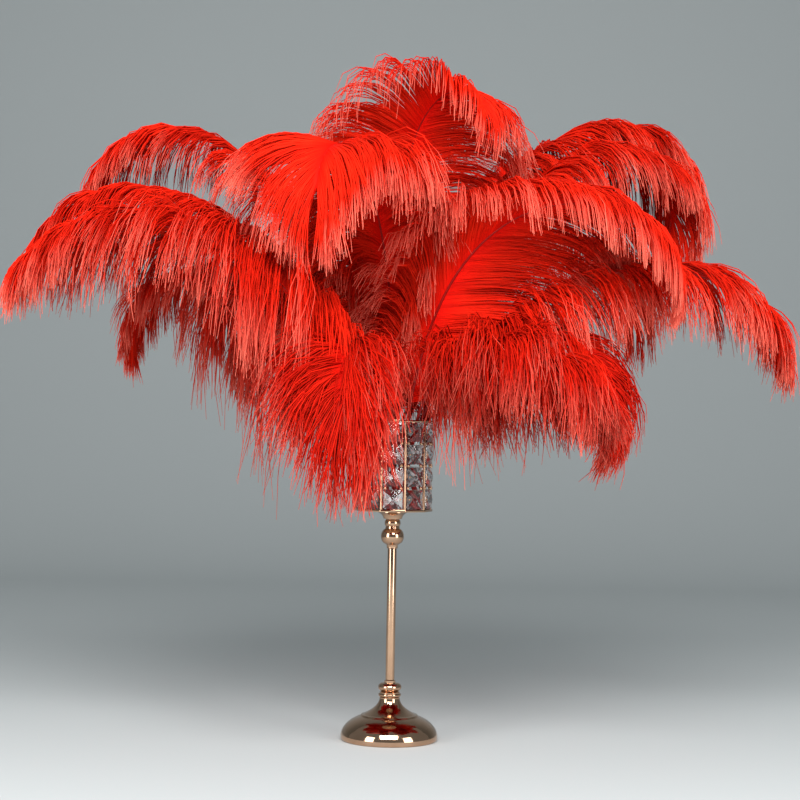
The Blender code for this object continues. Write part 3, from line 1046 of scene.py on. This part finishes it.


INNER = 0.009
OUTER = 0.019
FULL, AIRY, EVEN, SPARE = Fullness.FRONT, Fullness.AIRY, Fullness.MIDDLE, Fullness.BACK
# The lightness per plume is painted light and shade: low for front plumes that catch the lamps,
# high for shaded ones
PLUMES = (
    Plume("top", 306, 7, 0, 133, 5.0, 0.464, 0.0, 0.188, 2.3, 1.7, AIRY, -22, -22, 0.8,
          low=4.0, unruly=0.7, fan=76, skew=-6, base=0.5, bare=0.03, tip=0.45, painted_lightness=1.0),
    Plume("top_front", 235, 17, 7, 172, 3.0, 0.470, INNER, 0.170, 2.4, 0.6, FULL, 0, -4, 0.2,
          low=12.0, unruly=1.1, base=0.3, settled=0.6, slack=-0.25, bare=0.12, tip=0.6, painted_lightness=0.85),
    Plume("left_upper", 146, 28, 23, 163, 3.3, 0.598, INNER, 0.150, 3.0, 0.6, EVEN),
    Plume("back_high", 100, -34, 21, 134, 4.4, 0.599, INNER, 0.153, 1.7, 0.3, SPARE),
    Plume("right_upper_back", 63, -74, 23, 144, 2.9, 0.637, INNER, 0.165, 2.8, 0.3, FULL,
          bare=0.25),
    Plume("right_upper", 20, -2, 22, 203, 3.3, 0.612, INNER, 0.155, 3.1, 0.5, FULL, bare=0.3),
    Plume("right_front", 291, 78, 22, 158, 2.2, 0.492, INNER, 0.184, 1.7, 1.3, FULL, -78, 14, 1.2,
          unruly=0.5, fan=48, skew=16, slack=0.6, tip=0.4, painted_lightness=0.85),
    Plume("left_middle", 155, 33, 26, 149, 2.1, 0.578, OUTER, 0.153, 3.5, 0.6, FULL, painted_lightness=0.6),
    Plume("left_front", 205, -14, 31, 124, 1.7, 0.494, OUTER, 0.178, 2.8, 0.3, FULL, hook=0.4,
          low=2.0, unruly=1.6, base=1.7, settled=0.75, bare=0.22, tip=0.5, painted_lightness=0.72),
    Plume("left_low", 173, -16, 31, 174, 2.2, 0.422, OUTER, 0.104, 3.0, 0.6, EVEN, painted_lightness=0.9),
    Plume("front_left", 234, 48, 32, 168, 1.4, 0.288, OUTER, 0.142, 3.2, 0.4, FULL, low=1.5,
          unruly=2.6, fan=42, skew=-16, base=1.0, bare=0.22, tip=0.85, painted_lightness=0.02),
    Plume("front_right", 286, 55, 32, 115, 0.8, 0.280, OUTER, 0.146, 3.4, 0.5, FULL, -40, -30,
          low=3.0, unruly=2.4, fan=46, slack=0.4, bare=0.34, painted_lightness=0.15),
    Plume("right_low", 321, 15, 26, 186, 1.4, 0.366, OUTER, 0.124, 1.8, 1.2, EVEN, low=1.5,
          unruly=2.0, base=1.5, settled=0.75, bare=0.2, painted_lightness=0.2),
    Plume("right_far", 350, 19, 36, 152, 1.8, 0.528, OUTER, 0.154, 2.6, 0.6, FULL, unruly=1.8,
          base=1.5, settled=0.75, slack=0.2, tip=0.45),
    Plume("back_right", 39, -10, 28, 174, 2.3, 0.529, OUTER, 0.153, 3.0, 0.5, SPARE),
    Plume("back_low", 74, 12, 24, 181, 3.0, 0.502, OUTER, 0.135, 2.4, 0.4, SPARE),
    Plume("back_left", 102, 60, 32, 172, 2.6, 0.435, OUTER, 0.127, 2.7, 0.4, SPARE),
    Plume("back_far_left", 125, 30, 24, 170, 1.8, 0.298, OUTER, 0.094, 2.5, 0.6, SPARE),
)


def plume_tree() -> NodeTree:
    """Builds the tree that fills every lock with barbs and gives the shaft its girth.

    Each guide runs down one lock. Its points hold the step to the next lock (gap), the way
    off the vane (loft), how far along the barb they are (along) and the lock's tone, which is the
    plume's painted light and shade with a random spread.

    Returns:
        The tree, with named inputs for the barbs' number, size, clumping and looseness.
    """
    number, whole, finish = "NodeSocketFloat", "NodeSocketInt", "NodeSocketMaterial"
    sockets = (
        ("Barbs In A Lock", whole, 9), ("Barb Radius", number, 0.0007),
        ("Points On A Barb", whole, 7), ("Clumping", number, 0.45),
        ("Depth Of Vane", number, 0.02), ("Looseness", number, 0.012),
        ("Share Of Wisps", number, 0.05), ("Wisp Looseness", number, 0.05),
        ("Shortest Barb", number, 0.8), ("Seed", whole, 1),
        ("Barb Finish", finish, None), ("Shaft Finish", finish, None),
    )
    fields = [
        (name, READ, NUMBER, {"Name": name})
        for name in ("girth", "along", "spot", "short", "unruly", "tone", "tint", "around")
    ] + [(name, READ, ARROW, {"Name": name}) for name in ("gap", "loft", "chance")]
    on_curves, vectors_on_curves = ({**kind, "domain": "CURVE"} for kind in (NUMBER, ARROW))
    profiles = [
        row
        for label, corners in (("barb_ring", 3), ("shaft_ring", 10))
        for row in (
            (f"{label}_bare", "GeometryNodeCurvePrimitiveCircle", {"mode": "RADIUS"},
             {"Resolution": corners, "Radius": 1.0}),
            (label, STORE, {**NUMBER, "domain": "POINT"},
             {"Geometry": f"={label}_bare", "Name": "around", "Value": "=run"}),
        )
    ]
    return growing_tree("fill_locks_with_barbs", sockets, (
        *fields,
        ("run", "GeometryNodeSplineParameter", {}, {}),
        *profiles,
        ("on_shaft", MATH, ABOVE, {0: "=girth", 1: 0.0}),
        ("parted", "GeometryNodeSeparateGeometry", {"domain": "POINT"},
         {"Geometry": "=given", "Selection": "=on_shaft"}),
        # Barbs: many strands a lock, each at its own place between this lock and the next
        ("guides", "GeometryNodeMeshToCurve", {}, {"Mesh": "=parted.Inverted"}),
        ("strands", "GeometryNodeDuplicateElements", {"domain": "SPLINE"},
         {"Geometry": "=guides", "Amount": "=given.Barbs In A Lock"}),
        ("spot_seed", MATH, PLUS, {0: "=given.Seed", 1: 1.0}),
        ("chance_seed", MATH, PLUS, {0: "=given.Seed", 1: 2.0}),
        ("short_seed", MATH, PLUS, {0: "=given.Seed", 1: 3.0}),
        ("spot_dice", DICE, NUMBER, {"Min_001": 0.1, "Max_001": 0.9, "Seed": "=spot_seed"}),
        ("chance_dice", DICE, ARROW,
         {"Min": (0.0, 0.0, 0.0), "Max": (1.0, 1.0, 1.0), "Seed": "=chance_seed"}),
        ("short_dice", DICE, NUMBER, {"Min_001": 0.0, "Max_001": 1.0, "Seed": "=short_seed"}),
        ("in_turn", MATH, PLUS, {0: "=strands.Duplicate Index", 1: "=spot_dice.Value_001"}),
        ("own_spot", MATH, OVER, {0: "=in_turn", 1: "=given.Barbs In A Lock"}),
        ("spotted", STORE, on_curves, {"Geometry": "=strands", "Name": "spot",
                                       "Value": "=own_spot"}),
        ("varied", STORE, vectors_on_curves, {"Geometry": "=spotted", "Name": "chance",
                                              "Value": "=chance_dice"}),
        ("barbs", STORE, on_curves, {"Geometry": "=varied", "Name": "short",
                                     "Value": "=short_dice.Value_001"}),
        ("chances", "ShaderNodeSeparateXYZ", {}, {"Vector": "=chance"}),
        # Across the lock, drawn together towards the ends
        ("outer", MATH, POWER, {0: "=along", 1: 1.5}),
        ("gathering", MATH, TIMES, {0: "=given.Clumping", 1: "=outer"}),
        ("centred", MATH, MINUS, {0: "=spot", 1: 0.5}),
        ("apart", MATH, MINUS, {0: 1.0, 1: "=gathering"}),
        ("drawn_in", MATH, TIMES, {0: "=centred", 1: "=apart"}),
        ("kept_spot", MATH, PLUS, {0: "=drawn_in", 1: 0.5}),
        ("sideways", VECTOR, SCALED, {"Vector": "=gap", "Scale": "=kept_spot"}),
        # Off the vane
        ("above_vane", MATH, MINUS, {0: "=chances.X", 1: 0.5}),
        ("height", MATH, TIMES, {0: "=above_vane", 1: "=given.Depth Of Vane"}),
        ("rising", MATH, POWER, {0: "=along", 1: 1.4}),
        ("raised", MATH, TIMES, {0: "=height", 1: "=rising"}),
        ("proud", VECTOR, SCALED, {"Vector": "=loft", "Scale": "=raised"}),
        # Waves some 110 mm long, other ones for each barb, and wider in the stray wisps
        ("place", "GeometryNodeInputPosition", {}, {}),
        ("wave_place", VECTOR, SCALED, {"Vector": "=place", "Scale": 9.0}),
        ("drift", VECTOR, SCALED, {"Vector": "=chance", "Scale": 40.0}),
        ("own_place", VECTOR, PLUS, {0: "=wave_place", 1: "=drift"}),
        ("noise", NOISE, {"noise_dimensions": "3D"},
         {"Vector": "=own_place", "Scale": 1.0, "Detail": 1.0}),
        ("wave", VECTOR, MINUS, {0: "=noise.Color", 1: (0.5, 0.5, 0.5)}),
        ("is_wisp", MATH, BELOW, {0: "=chances.Z", 1: "=given.Share Of Wisps"}),
        ("wisp", MATH, TIMES, {0: "=is_wisp", 1: "=given.Wisp Looseness"}),
        ("loose", MATH, TIMES_PLUS, {0: "=given.Looseness", 1: "=unruly", 2: "=wisp"}),
        ("freed", MATH, POWER, {0: "=along", 1: 1.3}),
        ("both_ways", MATH, TIMES, {0: "=freed", 1: 2.0}),
        ("sway", MATH, TIMES, {0: "=loose", 1: "=both_ways"}),
        ("wander", VECTOR, SCALED, {"Vector": "=wave", "Scale": "=sway"}),
        ("off_guide", VECTOR, PLUS, {0: "=sideways", 1: "=proud"}),
        ("offset", VECTOR, PLUS, {0: "=off_guide", 1: "=wander"}),
        ("spread", "GeometryNodeSetPosition", {}, {"Geometry": "=barbs", "Offset": "=offset"}),
        # Length, tone and taper
        ("rarely_short", MATH, POWER, {0: "=short", 1: 0.6}),
        ("length", RANGE, {}, {"Value": "=rarely_short", "To Min": "=given.Shortest Barb",
                               "To Max": 1.0}),
        ("trimmed", "GeometryNodeTrimCurve", {"mode": "FACTOR"},
         {"Curve": "=spread", "Start": 0.0, "End": "=length"}),
        ("even", "GeometryNodeResampleCurve", {"mode": "COUNT"},
         {"Curve": "=trimmed", "Count": "=given.Points On A Barb"}),
        # The tint carries the lock's painted light and shade plus random tone per strand
        ("lock_tone", MATH, TIMES, {0: "=tone", 1: 0.55}),
        ("barb_tone", MATH, TIMES_PLUS, {0: "=chances.Y", 1: 0.45, 2: "=lock_tone"}),
        ("tinted", STORE, on_curves, {"Geometry": "=even", "Name": "tint",
                                      "Value": "=barb_tone"}),
        ("narrowing", MATH, POWER, {0: "=run", 1: 2.2}),
        ("lost", MATH, TIMES, {0: "=narrowing", 1: 0.72}),
        ("taper", MATH, MINUS, {0: 1.0, 1: "=lost"}),
        ("barb_girth", MATH, TIMES, {0: "=given.Barb Radius", 1: "=taper"}),
        ("barb_mesh", "GeometryNodeCurveToMesh", {},
         {"Curve": "=tinted", "Profile Curve": "=barb_ring", "Scale": "=barb_girth",
          "Fill Caps": True}),
        # The shaft: one tapered tube
        ("shaft_curve", "GeometryNodeMeshToCurve", {}, {"Mesh": "=parted.Selection"}),
        ("plain_shaft", STORE, on_curves, {"Geometry": "=shaft_curve", "Name": "tint",
                                           "Value": 0.5}),
        ("shaft_mesh", "GeometryNodeCurveToMesh", {},
         {"Curve": "=plain_shaft", "Profile Curve": "=shaft_ring", "Scale": "=girth",
          "Fill Caps": True}),
        ("joined", "GeometryNodeJoinGeometry", {}, {0: ["=shaft_mesh", "=barb_mesh"]}),
        ("smooth", "GeometryNodeSetShadeSmooth", {}, {"Geometry": "=joined"}),
        # The UV map: barbs by tint and length on the left, the shaft in a strip on the right
        ("barb_turn", MATH, TIMES, {0: "=around", 1: 0.03}),
        ("barb_strip", MATH, TIMES_PLUS, {0: "=tint", 1: 0.84, 2: "=barb_turn"}),
        ("barb_u", MATH, PLUS, {0: "=barb_strip", 1: 0.02}),
        ("shaft_u", MATH, TIMES_PLUS, {0: "=around", 1: 0.06, 2: 0.92}),
        ("u", MIX, NUMBER, {"Factor_Float": "=on_shaft", "A_Float": "=barb_u",
                            "B_Float": "=shaft_u"}),
        ("v", MATH, TIMES_PLUS, {0: "=along", 1: 0.96, 2: 0.02}),
        ("uv", "ShaderNodeCombineXYZ", {}, {"X": "=u.Result_Float", "Y": "=v"}),
        ("mapped", STORE, {"data_type": "FLOAT2", "domain": "CORNER"},
         {"Geometry": "=smooth", "Name": BAKE_MAP, "Value": "=uv"}),
        ("real", "GeometryNodeRealizeInstances", {}, {"Geometry": "=mapped"}),
        ("all_barb", FINISH, {}, {"Geometry": "=real", "Material": "=given.Barb Finish"}),
        ("grown", FINISH, {}, {"Geometry": "=all_barb", "Selection": "=on_shaft",
                               "Material": "=given.Shaft Finish"}),
    ))


@dataclass(frozen=True)
class PlumeBunch:
    """All the plumes, with the measures that every one of them shares; in metres and degrees."""

    plumes: tuple[Plume, ...] = PLUMES
    cup_floor: float = 0.276
    gap: float = 0.0003
    waist: float = 0.330
    mouth: float = 0.380
    quill_radius: float = 0.0021
    tip_radius: float = 0.0006
    tip_angle: float = 11.0
    rise: float = 12.0
    barb_samples: int = 12
    shaft_samples: int = 160
    length_spread: float = 0.07
    length_limits: Point = (-0.2, 0.12)
    hang_spread: float = 0.20
    hang_limits: Point = (-0.6, 1.2)
    angle_spread: float = 4.0
    barb_radius: float = 0.00088
    clumping: float = 0.24
    vane_depth: float = 0.022
    looseness: float = 0.013
    wisp_share: float = 0.05
    wisp_looseness: float = 0.024
    shortest: float = 0.82
    down_looseness: float = 1.0  # how much looser the downy barbs near the quill are
    down_share: float = 0.4  # share of the vane, from the cup up, that is downy
    fan_narrowing: float = 10.0  # degrees by which the barbs close up along the vane
    closing_start: float = 0.7  # where along the vane the tip begins to close
    closing_span: float = 0.3
    hang_rate: float = 1.6
    hook_rate: float = 6.0
    hook_start: float = 0.55  # where along a barb its end begins to turn down
    curl_rate: float = 1.4
    tone_spread: float = 0.22
    shaft_knots: int = 46
    quill_knots: int = 5
    lock_seed: int = 500
    barb_seed: int = 100
    barb_seed_step: int = 17

    def directions(
        self, plume: Plume, share: np.ndarray
    ) -> tuple[np.ndarray, np.ndarray, np.ndarray]:
        """Finds the shaft's direction, the feather's back and its side.

        Args:
            plume: The plume.
            share: Places on the shaft, from 0 at the cup's mouth to 1 at the tip.

        Returns:
            Three arrays of unit vectors.
        """
        heading = np.radians(plume.heading + plume.sweep * share)
        tilt = np.radians(plume.lean + (plume.droop - plume.lean) * share**plume.stiffness)
        along = np.stack(
            [np.sin(tilt) * np.cos(heading), np.sin(tilt) * np.sin(heading), np.cos(tilt)], -1
        )
        back = np.stack(
            [-np.cos(tilt) * np.cos(heading), -np.cos(tilt) * np.sin(heading), np.sin(tilt)], -1
        )
        side = np.cross(along, back)
        twist = np.radians(plume.foot_twist * (1 - share) + plume.tip_twist * share)
        across, over = np.cos(twist)[:, None], np.sin(twist)[:, None]
        return along, back * across + side * over, side * across - back * over

    def quill(self, plume: Plume) -> tuple[np.ndarray, np.ndarray]:
        """Finds the two ends of the straight quill inside the cup.

        Args:
            plume: The plume.

        Returns:
            Its foot, on the cup's floor, and its place in the cup's mouth.
        """
        heading, lean = math.radians(plume.heading), math.radians(plume.lean)
        nearest = np.array(
            [-math.sin(heading) * plume.ring, math.cos(heading) * plume.ring, self.waist]
        )
        slope = np.array(
            [math.cos(heading) * math.tan(lean), math.sin(heading) * math.tan(lean), 1.0]
        )
        foot_height = self.cup_floor + self.gap + self.quill_radius * math.sin(lean)
        return (
            nearest + slope * (foot_height - self.waist),
            nearest + slope * (self.mouth - self.waist),
        )

    def shaft_points(self, plume: Plume, share: np.ndarray) -> np.ndarray:
        """Finds points of the free shaft.

        Args:
            plume: The plume.
            share: Places on the shaft, from 0 to 1.

        Returns:
            One point for each place.
        """
        fine = np.linspace(0.0, 1.0, self.shaft_samples + 1)
        along, _, _ = self.directions(plume, (fine[1:] + fine[:-1]) / 2)
        steps = along * plume.length / self.shaft_samples
        mouth = self.quill(plume)[1]
        course = np.vstack([mouth, mouth + np.cumsum(steps, axis=0)])
        return np.stack([np.interp(share, fine, course[:, i]) for i in range(3)], 1)

    def guides(
        self, plume: Plume, sign: int, rng: np.random.Generator
    ) -> tuple[np.ndarray, np.ndarray]:
        """Lays out one side's locks: each leaves the shaft, curls and hangs.

        Args:
            plume: The plume.
            sign: 1 or -1, the side of the shaft.
            rng: Source of each lock's small differences.

        Returns:
            Points of every guide, and at each of them the direction off the vane.
        """
        count = plume.fullness.value.locks + 1
        spot = np.linspace(0.0, 1.0, count)
        share = plume.bare + (1 - plume.bare) * spot
        along, back, side = self.directions(plume, share)
        closing = np.clip((spot - self.closing_start) / self.closing_span, 0, 1) ** 1.5
        body_angle = plume.fan - self.fan_narrowing * spot - sign * plume.skew
        angle = body_angle + (self.tip_angle - body_angle) * closing
        spread = self.angle_spread * plume.unruly
        angle = np.radians(angle + rng.normal(0, spread, count))[:, None]
        rise = np.radians(self.rise + rng.normal(0, spread, count))[:, None]
        outwards = side * sign * np.cos(rise) + back * np.sin(rise)
        heading = along * np.cos(angle) + outwards * np.sin(angle)
        grown_out = plume.base + (1 - plume.base) * np.clip(spot / plume.settled, 0, 1)
        length = plume.barb * grown_out * (1 - (1 - plume.tip) * closing)
        length = length * (1 + rng.normal(0, self.length_spread, count).clip(*self.length_limits))
        limpness = plume.limpness * (1 + sign * plume.slack)
        limpness = limpness * (1 + plume.low * np.clip(1 - spot / self.down_share, 0, 1))
        spread = rng.normal(0, self.hang_spread * plume.unruly, count)
        limpness = (limpness * (1 + spread.clip(*self.hang_limits)))[:, None]
        step = (length / self.barb_samples)[:, None]
        down = np.array([0.0, 0.0, -1.0])
        point = self.shaft_points(plume, share)
        course, off_vane = [point], []
        for sample in range(self.barb_samples):
            bend = (sample + 0.5) / self.barb_samples**2
            weight = down - (heading @ down)[:, None] * heading
            hollow = -back + np.sum(back * heading, 1)[:, None] * heading
            late = max(0.0, (sample + 0.5) / self.barb_samples - self.hook_start)
            hooking = plume.hook * self.hook_rate * late / self.barb_samples
            turn_down = limpness * self.hang_rate * bend + hooking
            heading = heading + weight * turn_down + hollow * plume.curl * self.curl_rate * bend
            heading = heading / np.linalg.norm(heading, axis=1)[:, None]
            loft = np.cross(heading, along) * sign
            off_vane.append(loft / np.linalg.norm(loft, axis=1)[:, None].clip(0.05))
            point = point + heading * step
            course.append(point)
        off_vane.append(off_vane[-1])
        return np.stack(course, 1), np.stack(off_vane, 1)

    def guide_object(self, plume: Plume, seed: int) -> Object:
        """Makes the edges that the tree reads: two rows of locks and the shaft.

        Args:
            plume: The plume.
            seed: Seed of the locks' small differences.

        Returns:
            An object of loose edges with the attributes the tree needs.
        """
        rng = np.random.default_rng(seed)
        parts = []
        for sign in (1, -1):
            course, loft = self.guides(plume, sign, rng)
            locks, samples = len(course) - 1, course.shape[1]
            # The lock's tone is the plume's painted light and shade with a random spread
            tone = np.clip(plume.painted_lightness + rng.normal(0, self.tone_spread, locks), 0, 1)
            downy = np.clip(1 - np.linspace(0, 1, locks) / self.down_share, 0, 1)
            parts.append({
                "point": course[:-1].reshape(-1, 3),
                "gap": (course[1:] - course[:-1]).reshape(-1, 3),
                "loft": loft[:-1].reshape(-1, 3),
                "along": np.tile(np.linspace(0, 1, samples), locks),
                "tone": np.repeat(tone, samples),
                "unruly": np.repeat(plume.unruly * (1 + self.down_looseness * downy), samples),
                "girth": np.zeros(locks * samples),
            })
        share = np.linspace(0, 1, self.shaft_knots)
        foot, mouth = self.quill(plume)
        up_the_quill = np.linspace(0, 1, self.quill_knots, endpoint=False)[:, None]
        shaft = np.vstack([foot + (mouth - foot) * up_the_quill, self.shaft_points(plume, share)])
        radius = self.quill_radius + (self.tip_radius - self.quill_radius) * share
        flat, none = np.zeros_like(shaft), np.zeros(len(shaft))
        parts.append({
            "point": shaft, "gap": flat, "loft": flat, "along": np.linspace(0, 1, len(shaft)),
            "tone": none, "unruly": none,
            "girth": np.concatenate([np.full(self.quill_knots, self.quill_radius), radius]),
        })
        fields = {name: np.concatenate([part[name] for part in parts]) for name in parts[0]}
        first = len(fields["point"]) - len(shaft)
        locks_and_shaft = (np.arange(first).reshape(-1, self.barb_samples + 1),
                           np.arange(first, first + len(shaft))[None])
        edges = [np.stack([run[:, :-1], run[:, 1:]], -1).reshape(-1, 2) for run in locks_and_shaft]

        mesh = bpy.data.meshes.new(plume.name)
        mesh.from_pydata(fields.pop("point").tolist(), np.vstack(edges).tolist(), [])
        for name, values in fields.items():
            kind, key = ("FLOAT_VECTOR", "vector") if values.ndim == 2 else ("FLOAT", "value")
            attribute = mesh.attributes.new(name, kind, "POINT")
            attribute.data.foreach_set(key, values.astype(np.float32).ravel())
        return placed(plume.name + "_guides", mesh)

    def build(self) -> None:
        """Grows every plume in place of its folded solid."""
        tree = plume_tree()
        for number, plume in enumerate(self.plumes):
            fill = plume.fullness.value
            values = {
                "Barbs In A Lock": fill.barbs,
                "Barb Radius": self.barb_radius,
                "Points On A Barb": fill.points,
                "Clumping": self.clumping,
                "Depth Of Vane": self.vane_depth,
                "Looseness": self.looseness,
                "Share Of Wisps": self.wisp_share,
                "Wisp Looseness": self.wisp_looseness,
                "Shortest Barb": self.shortest,
                "Seed": self.barb_seed + number * self.barb_seed_step,
                "Barb Finish": BARBS.material(),
                "Shaft Finish": SHAFT.material(),
            }
            source = self.guide_object(plume, self.lock_seed + number)
            piece = grown(source, tree, values, f"plume_{plume.name}")
            for name in ("gap", "loft", "tone", "girth", "spot", "chance", "short", "unruly"):
                found = piece.data.attributes.get(name)
                if found is not None:
                    piece.data.attributes.remove(found)
            kept(piece, Slot.PLUME, f"feather_{plume.name}")


# ---- the studio ----


@dataclass(frozen=True)
class Softbox:
    """One soft rectangular light, aimed at the middle of the bunch; in metres and watts."""

    name: str
    place: tuple[float, float, float]
    width: float
    height: float
    watts: float

    def hang(self, aim: Vector) -> None:
        """Hangs the light.

        Args:
            aim: What it points at.
        """
        data = bpy.data.lights.new(self.name, "AREA")
        data.shape, data.energy = "RECTANGLE", self.watts
        data.size, data.size_y = self.width, self.height
        light = placed(self.name, data)
        light.location = self.place
        light.rotation_mode = "QUATERNION"
        light.rotation_quaternion = (aim - light.location).to_track_quat("-Z", "Y")


SOFTBOXES = (
    Softbox("softbox_left", (-1.35, -1.25, 0.6), 0.7, 1.2, 16.0),
    Softbox("softbox_right", (1.35, -1.25, 0.6), 0.7, 1.2, 15.5),
    Softbox("softbox_top", (0.0, -2.0, 1.75), 1.8, 1.2, 88.0),
)


@dataclass(frozen=True)
class Studio:
    """The pale floor, the soft lights and the camera; in metres and degrees."""

    distance: float = 2.1
    across: float = 0.00624
    height: float = 0.358
    pitch: float = 1.31
    roll: float = 1.0
    lens: float = 78.75
    sensor: float = 36.0
    nearest: float = 0.05
    farthest: float = 60.0
    sweep_front: float = -12.0
    sweep_start: float = 2.2
    sweep_radius: float = 1.5
    sweep_top: float = 7.0
    sweep_half_width: float = 10.0
    aim: tuple[float, float, float] = (0.0, 0.0, 0.45)
    sky_tone: str = "#AEB6BA"
    sky_strength: float = 0.5

    def camera(self) -> None:
        """Places the camera where the photograph was taken from."""
        data = bpy.data.cameras.new("camera")
        data.lens, data.sensor_width = self.lens, self.sensor
        data.clip_start, data.clip_end = self.nearest, self.farthest
        camera = placed("camera", data)
        pitch, roll = math.radians(self.pitch), math.radians(self.roll)
        right, up = Vector((1, 0, 0)), Vector((0, -math.sin(pitch), math.cos(pitch)))
        towards = Vector((0, math.cos(pitch), math.sin(pitch)))
        x_axis = right * math.cos(roll) + up * math.sin(roll)
        y_axis = up * math.cos(roll) - right * math.sin(roll)
        turn = Matrix((x_axis, y_axis, -towards)).transposed().to_4x4()
        place = Matrix.Translation((self.across, -self.distance, self.height))
        camera.matrix_world = place @ turn
        bpy.context.scene.camera = camera

    def sky(self) -> None:
        """Gives the room its even light."""
        world = bpy.data.worlds.new("studio")
        world.use_nodes = True
        background = world.node_tree.nodes["Background"]
        background.inputs["Color"].default_value = linear(self.sky_tone)
        background.inputs["Strength"].default_value = self.sky_strength
        bpy.context.scene.world = world
        bpy.context.scene.view_settings.view_transform = "Standard"

    def paper(self) -> None:
        """Rolls out the seamless paper: a floor that curves up into a wall."""
        mesh = bpy.data.meshes.new("paper_sweep")
        turns = [math.radians(turn) for turn in range(0, 91, 6)]
        rise = [(self.sweep_start + self.sweep_radius * math.sin(turn),
                 self.sweep_radius * (1 - math.cos(turn))) for turn in turns]
        profile = [(self.sweep_front, 0.0), *rise, (rise[-1][0], self.sweep_top)]
        sides = (-self.sweep_half_width, self.sweep_half_width)
        points = [(x, y, z) for y, z in profile for x in sides]
        faces = [(k, k + 1, k + 3, k + 2) for k in range(0, len(points) - 2, 2)]
        mesh.from_pydata(points, [], faces)
        mesh.shade_smooth()
        mesh.materials.append(PAPER.material())
        placed("paper_sweep", mesh)

    def build(self) -> None:
        """Sets up camera, lights, sky and floor."""
        self.camera()
        for softbox in SOFTBOXES:
            softbox.hang(Vector(self.aim))
        self.sky()
        self.paper()


def main() -> None:
    """Builds the studio, the stand, the cup and the plumes."""
    logging.basicConfig(level=logging.INFO, format="%(name)s %(message)s")
    Studio().build()
    TurnedStand().build()
    CrystalCup().build()
    PlumeBunch().build()


if __name__ == "__main__":
    main()
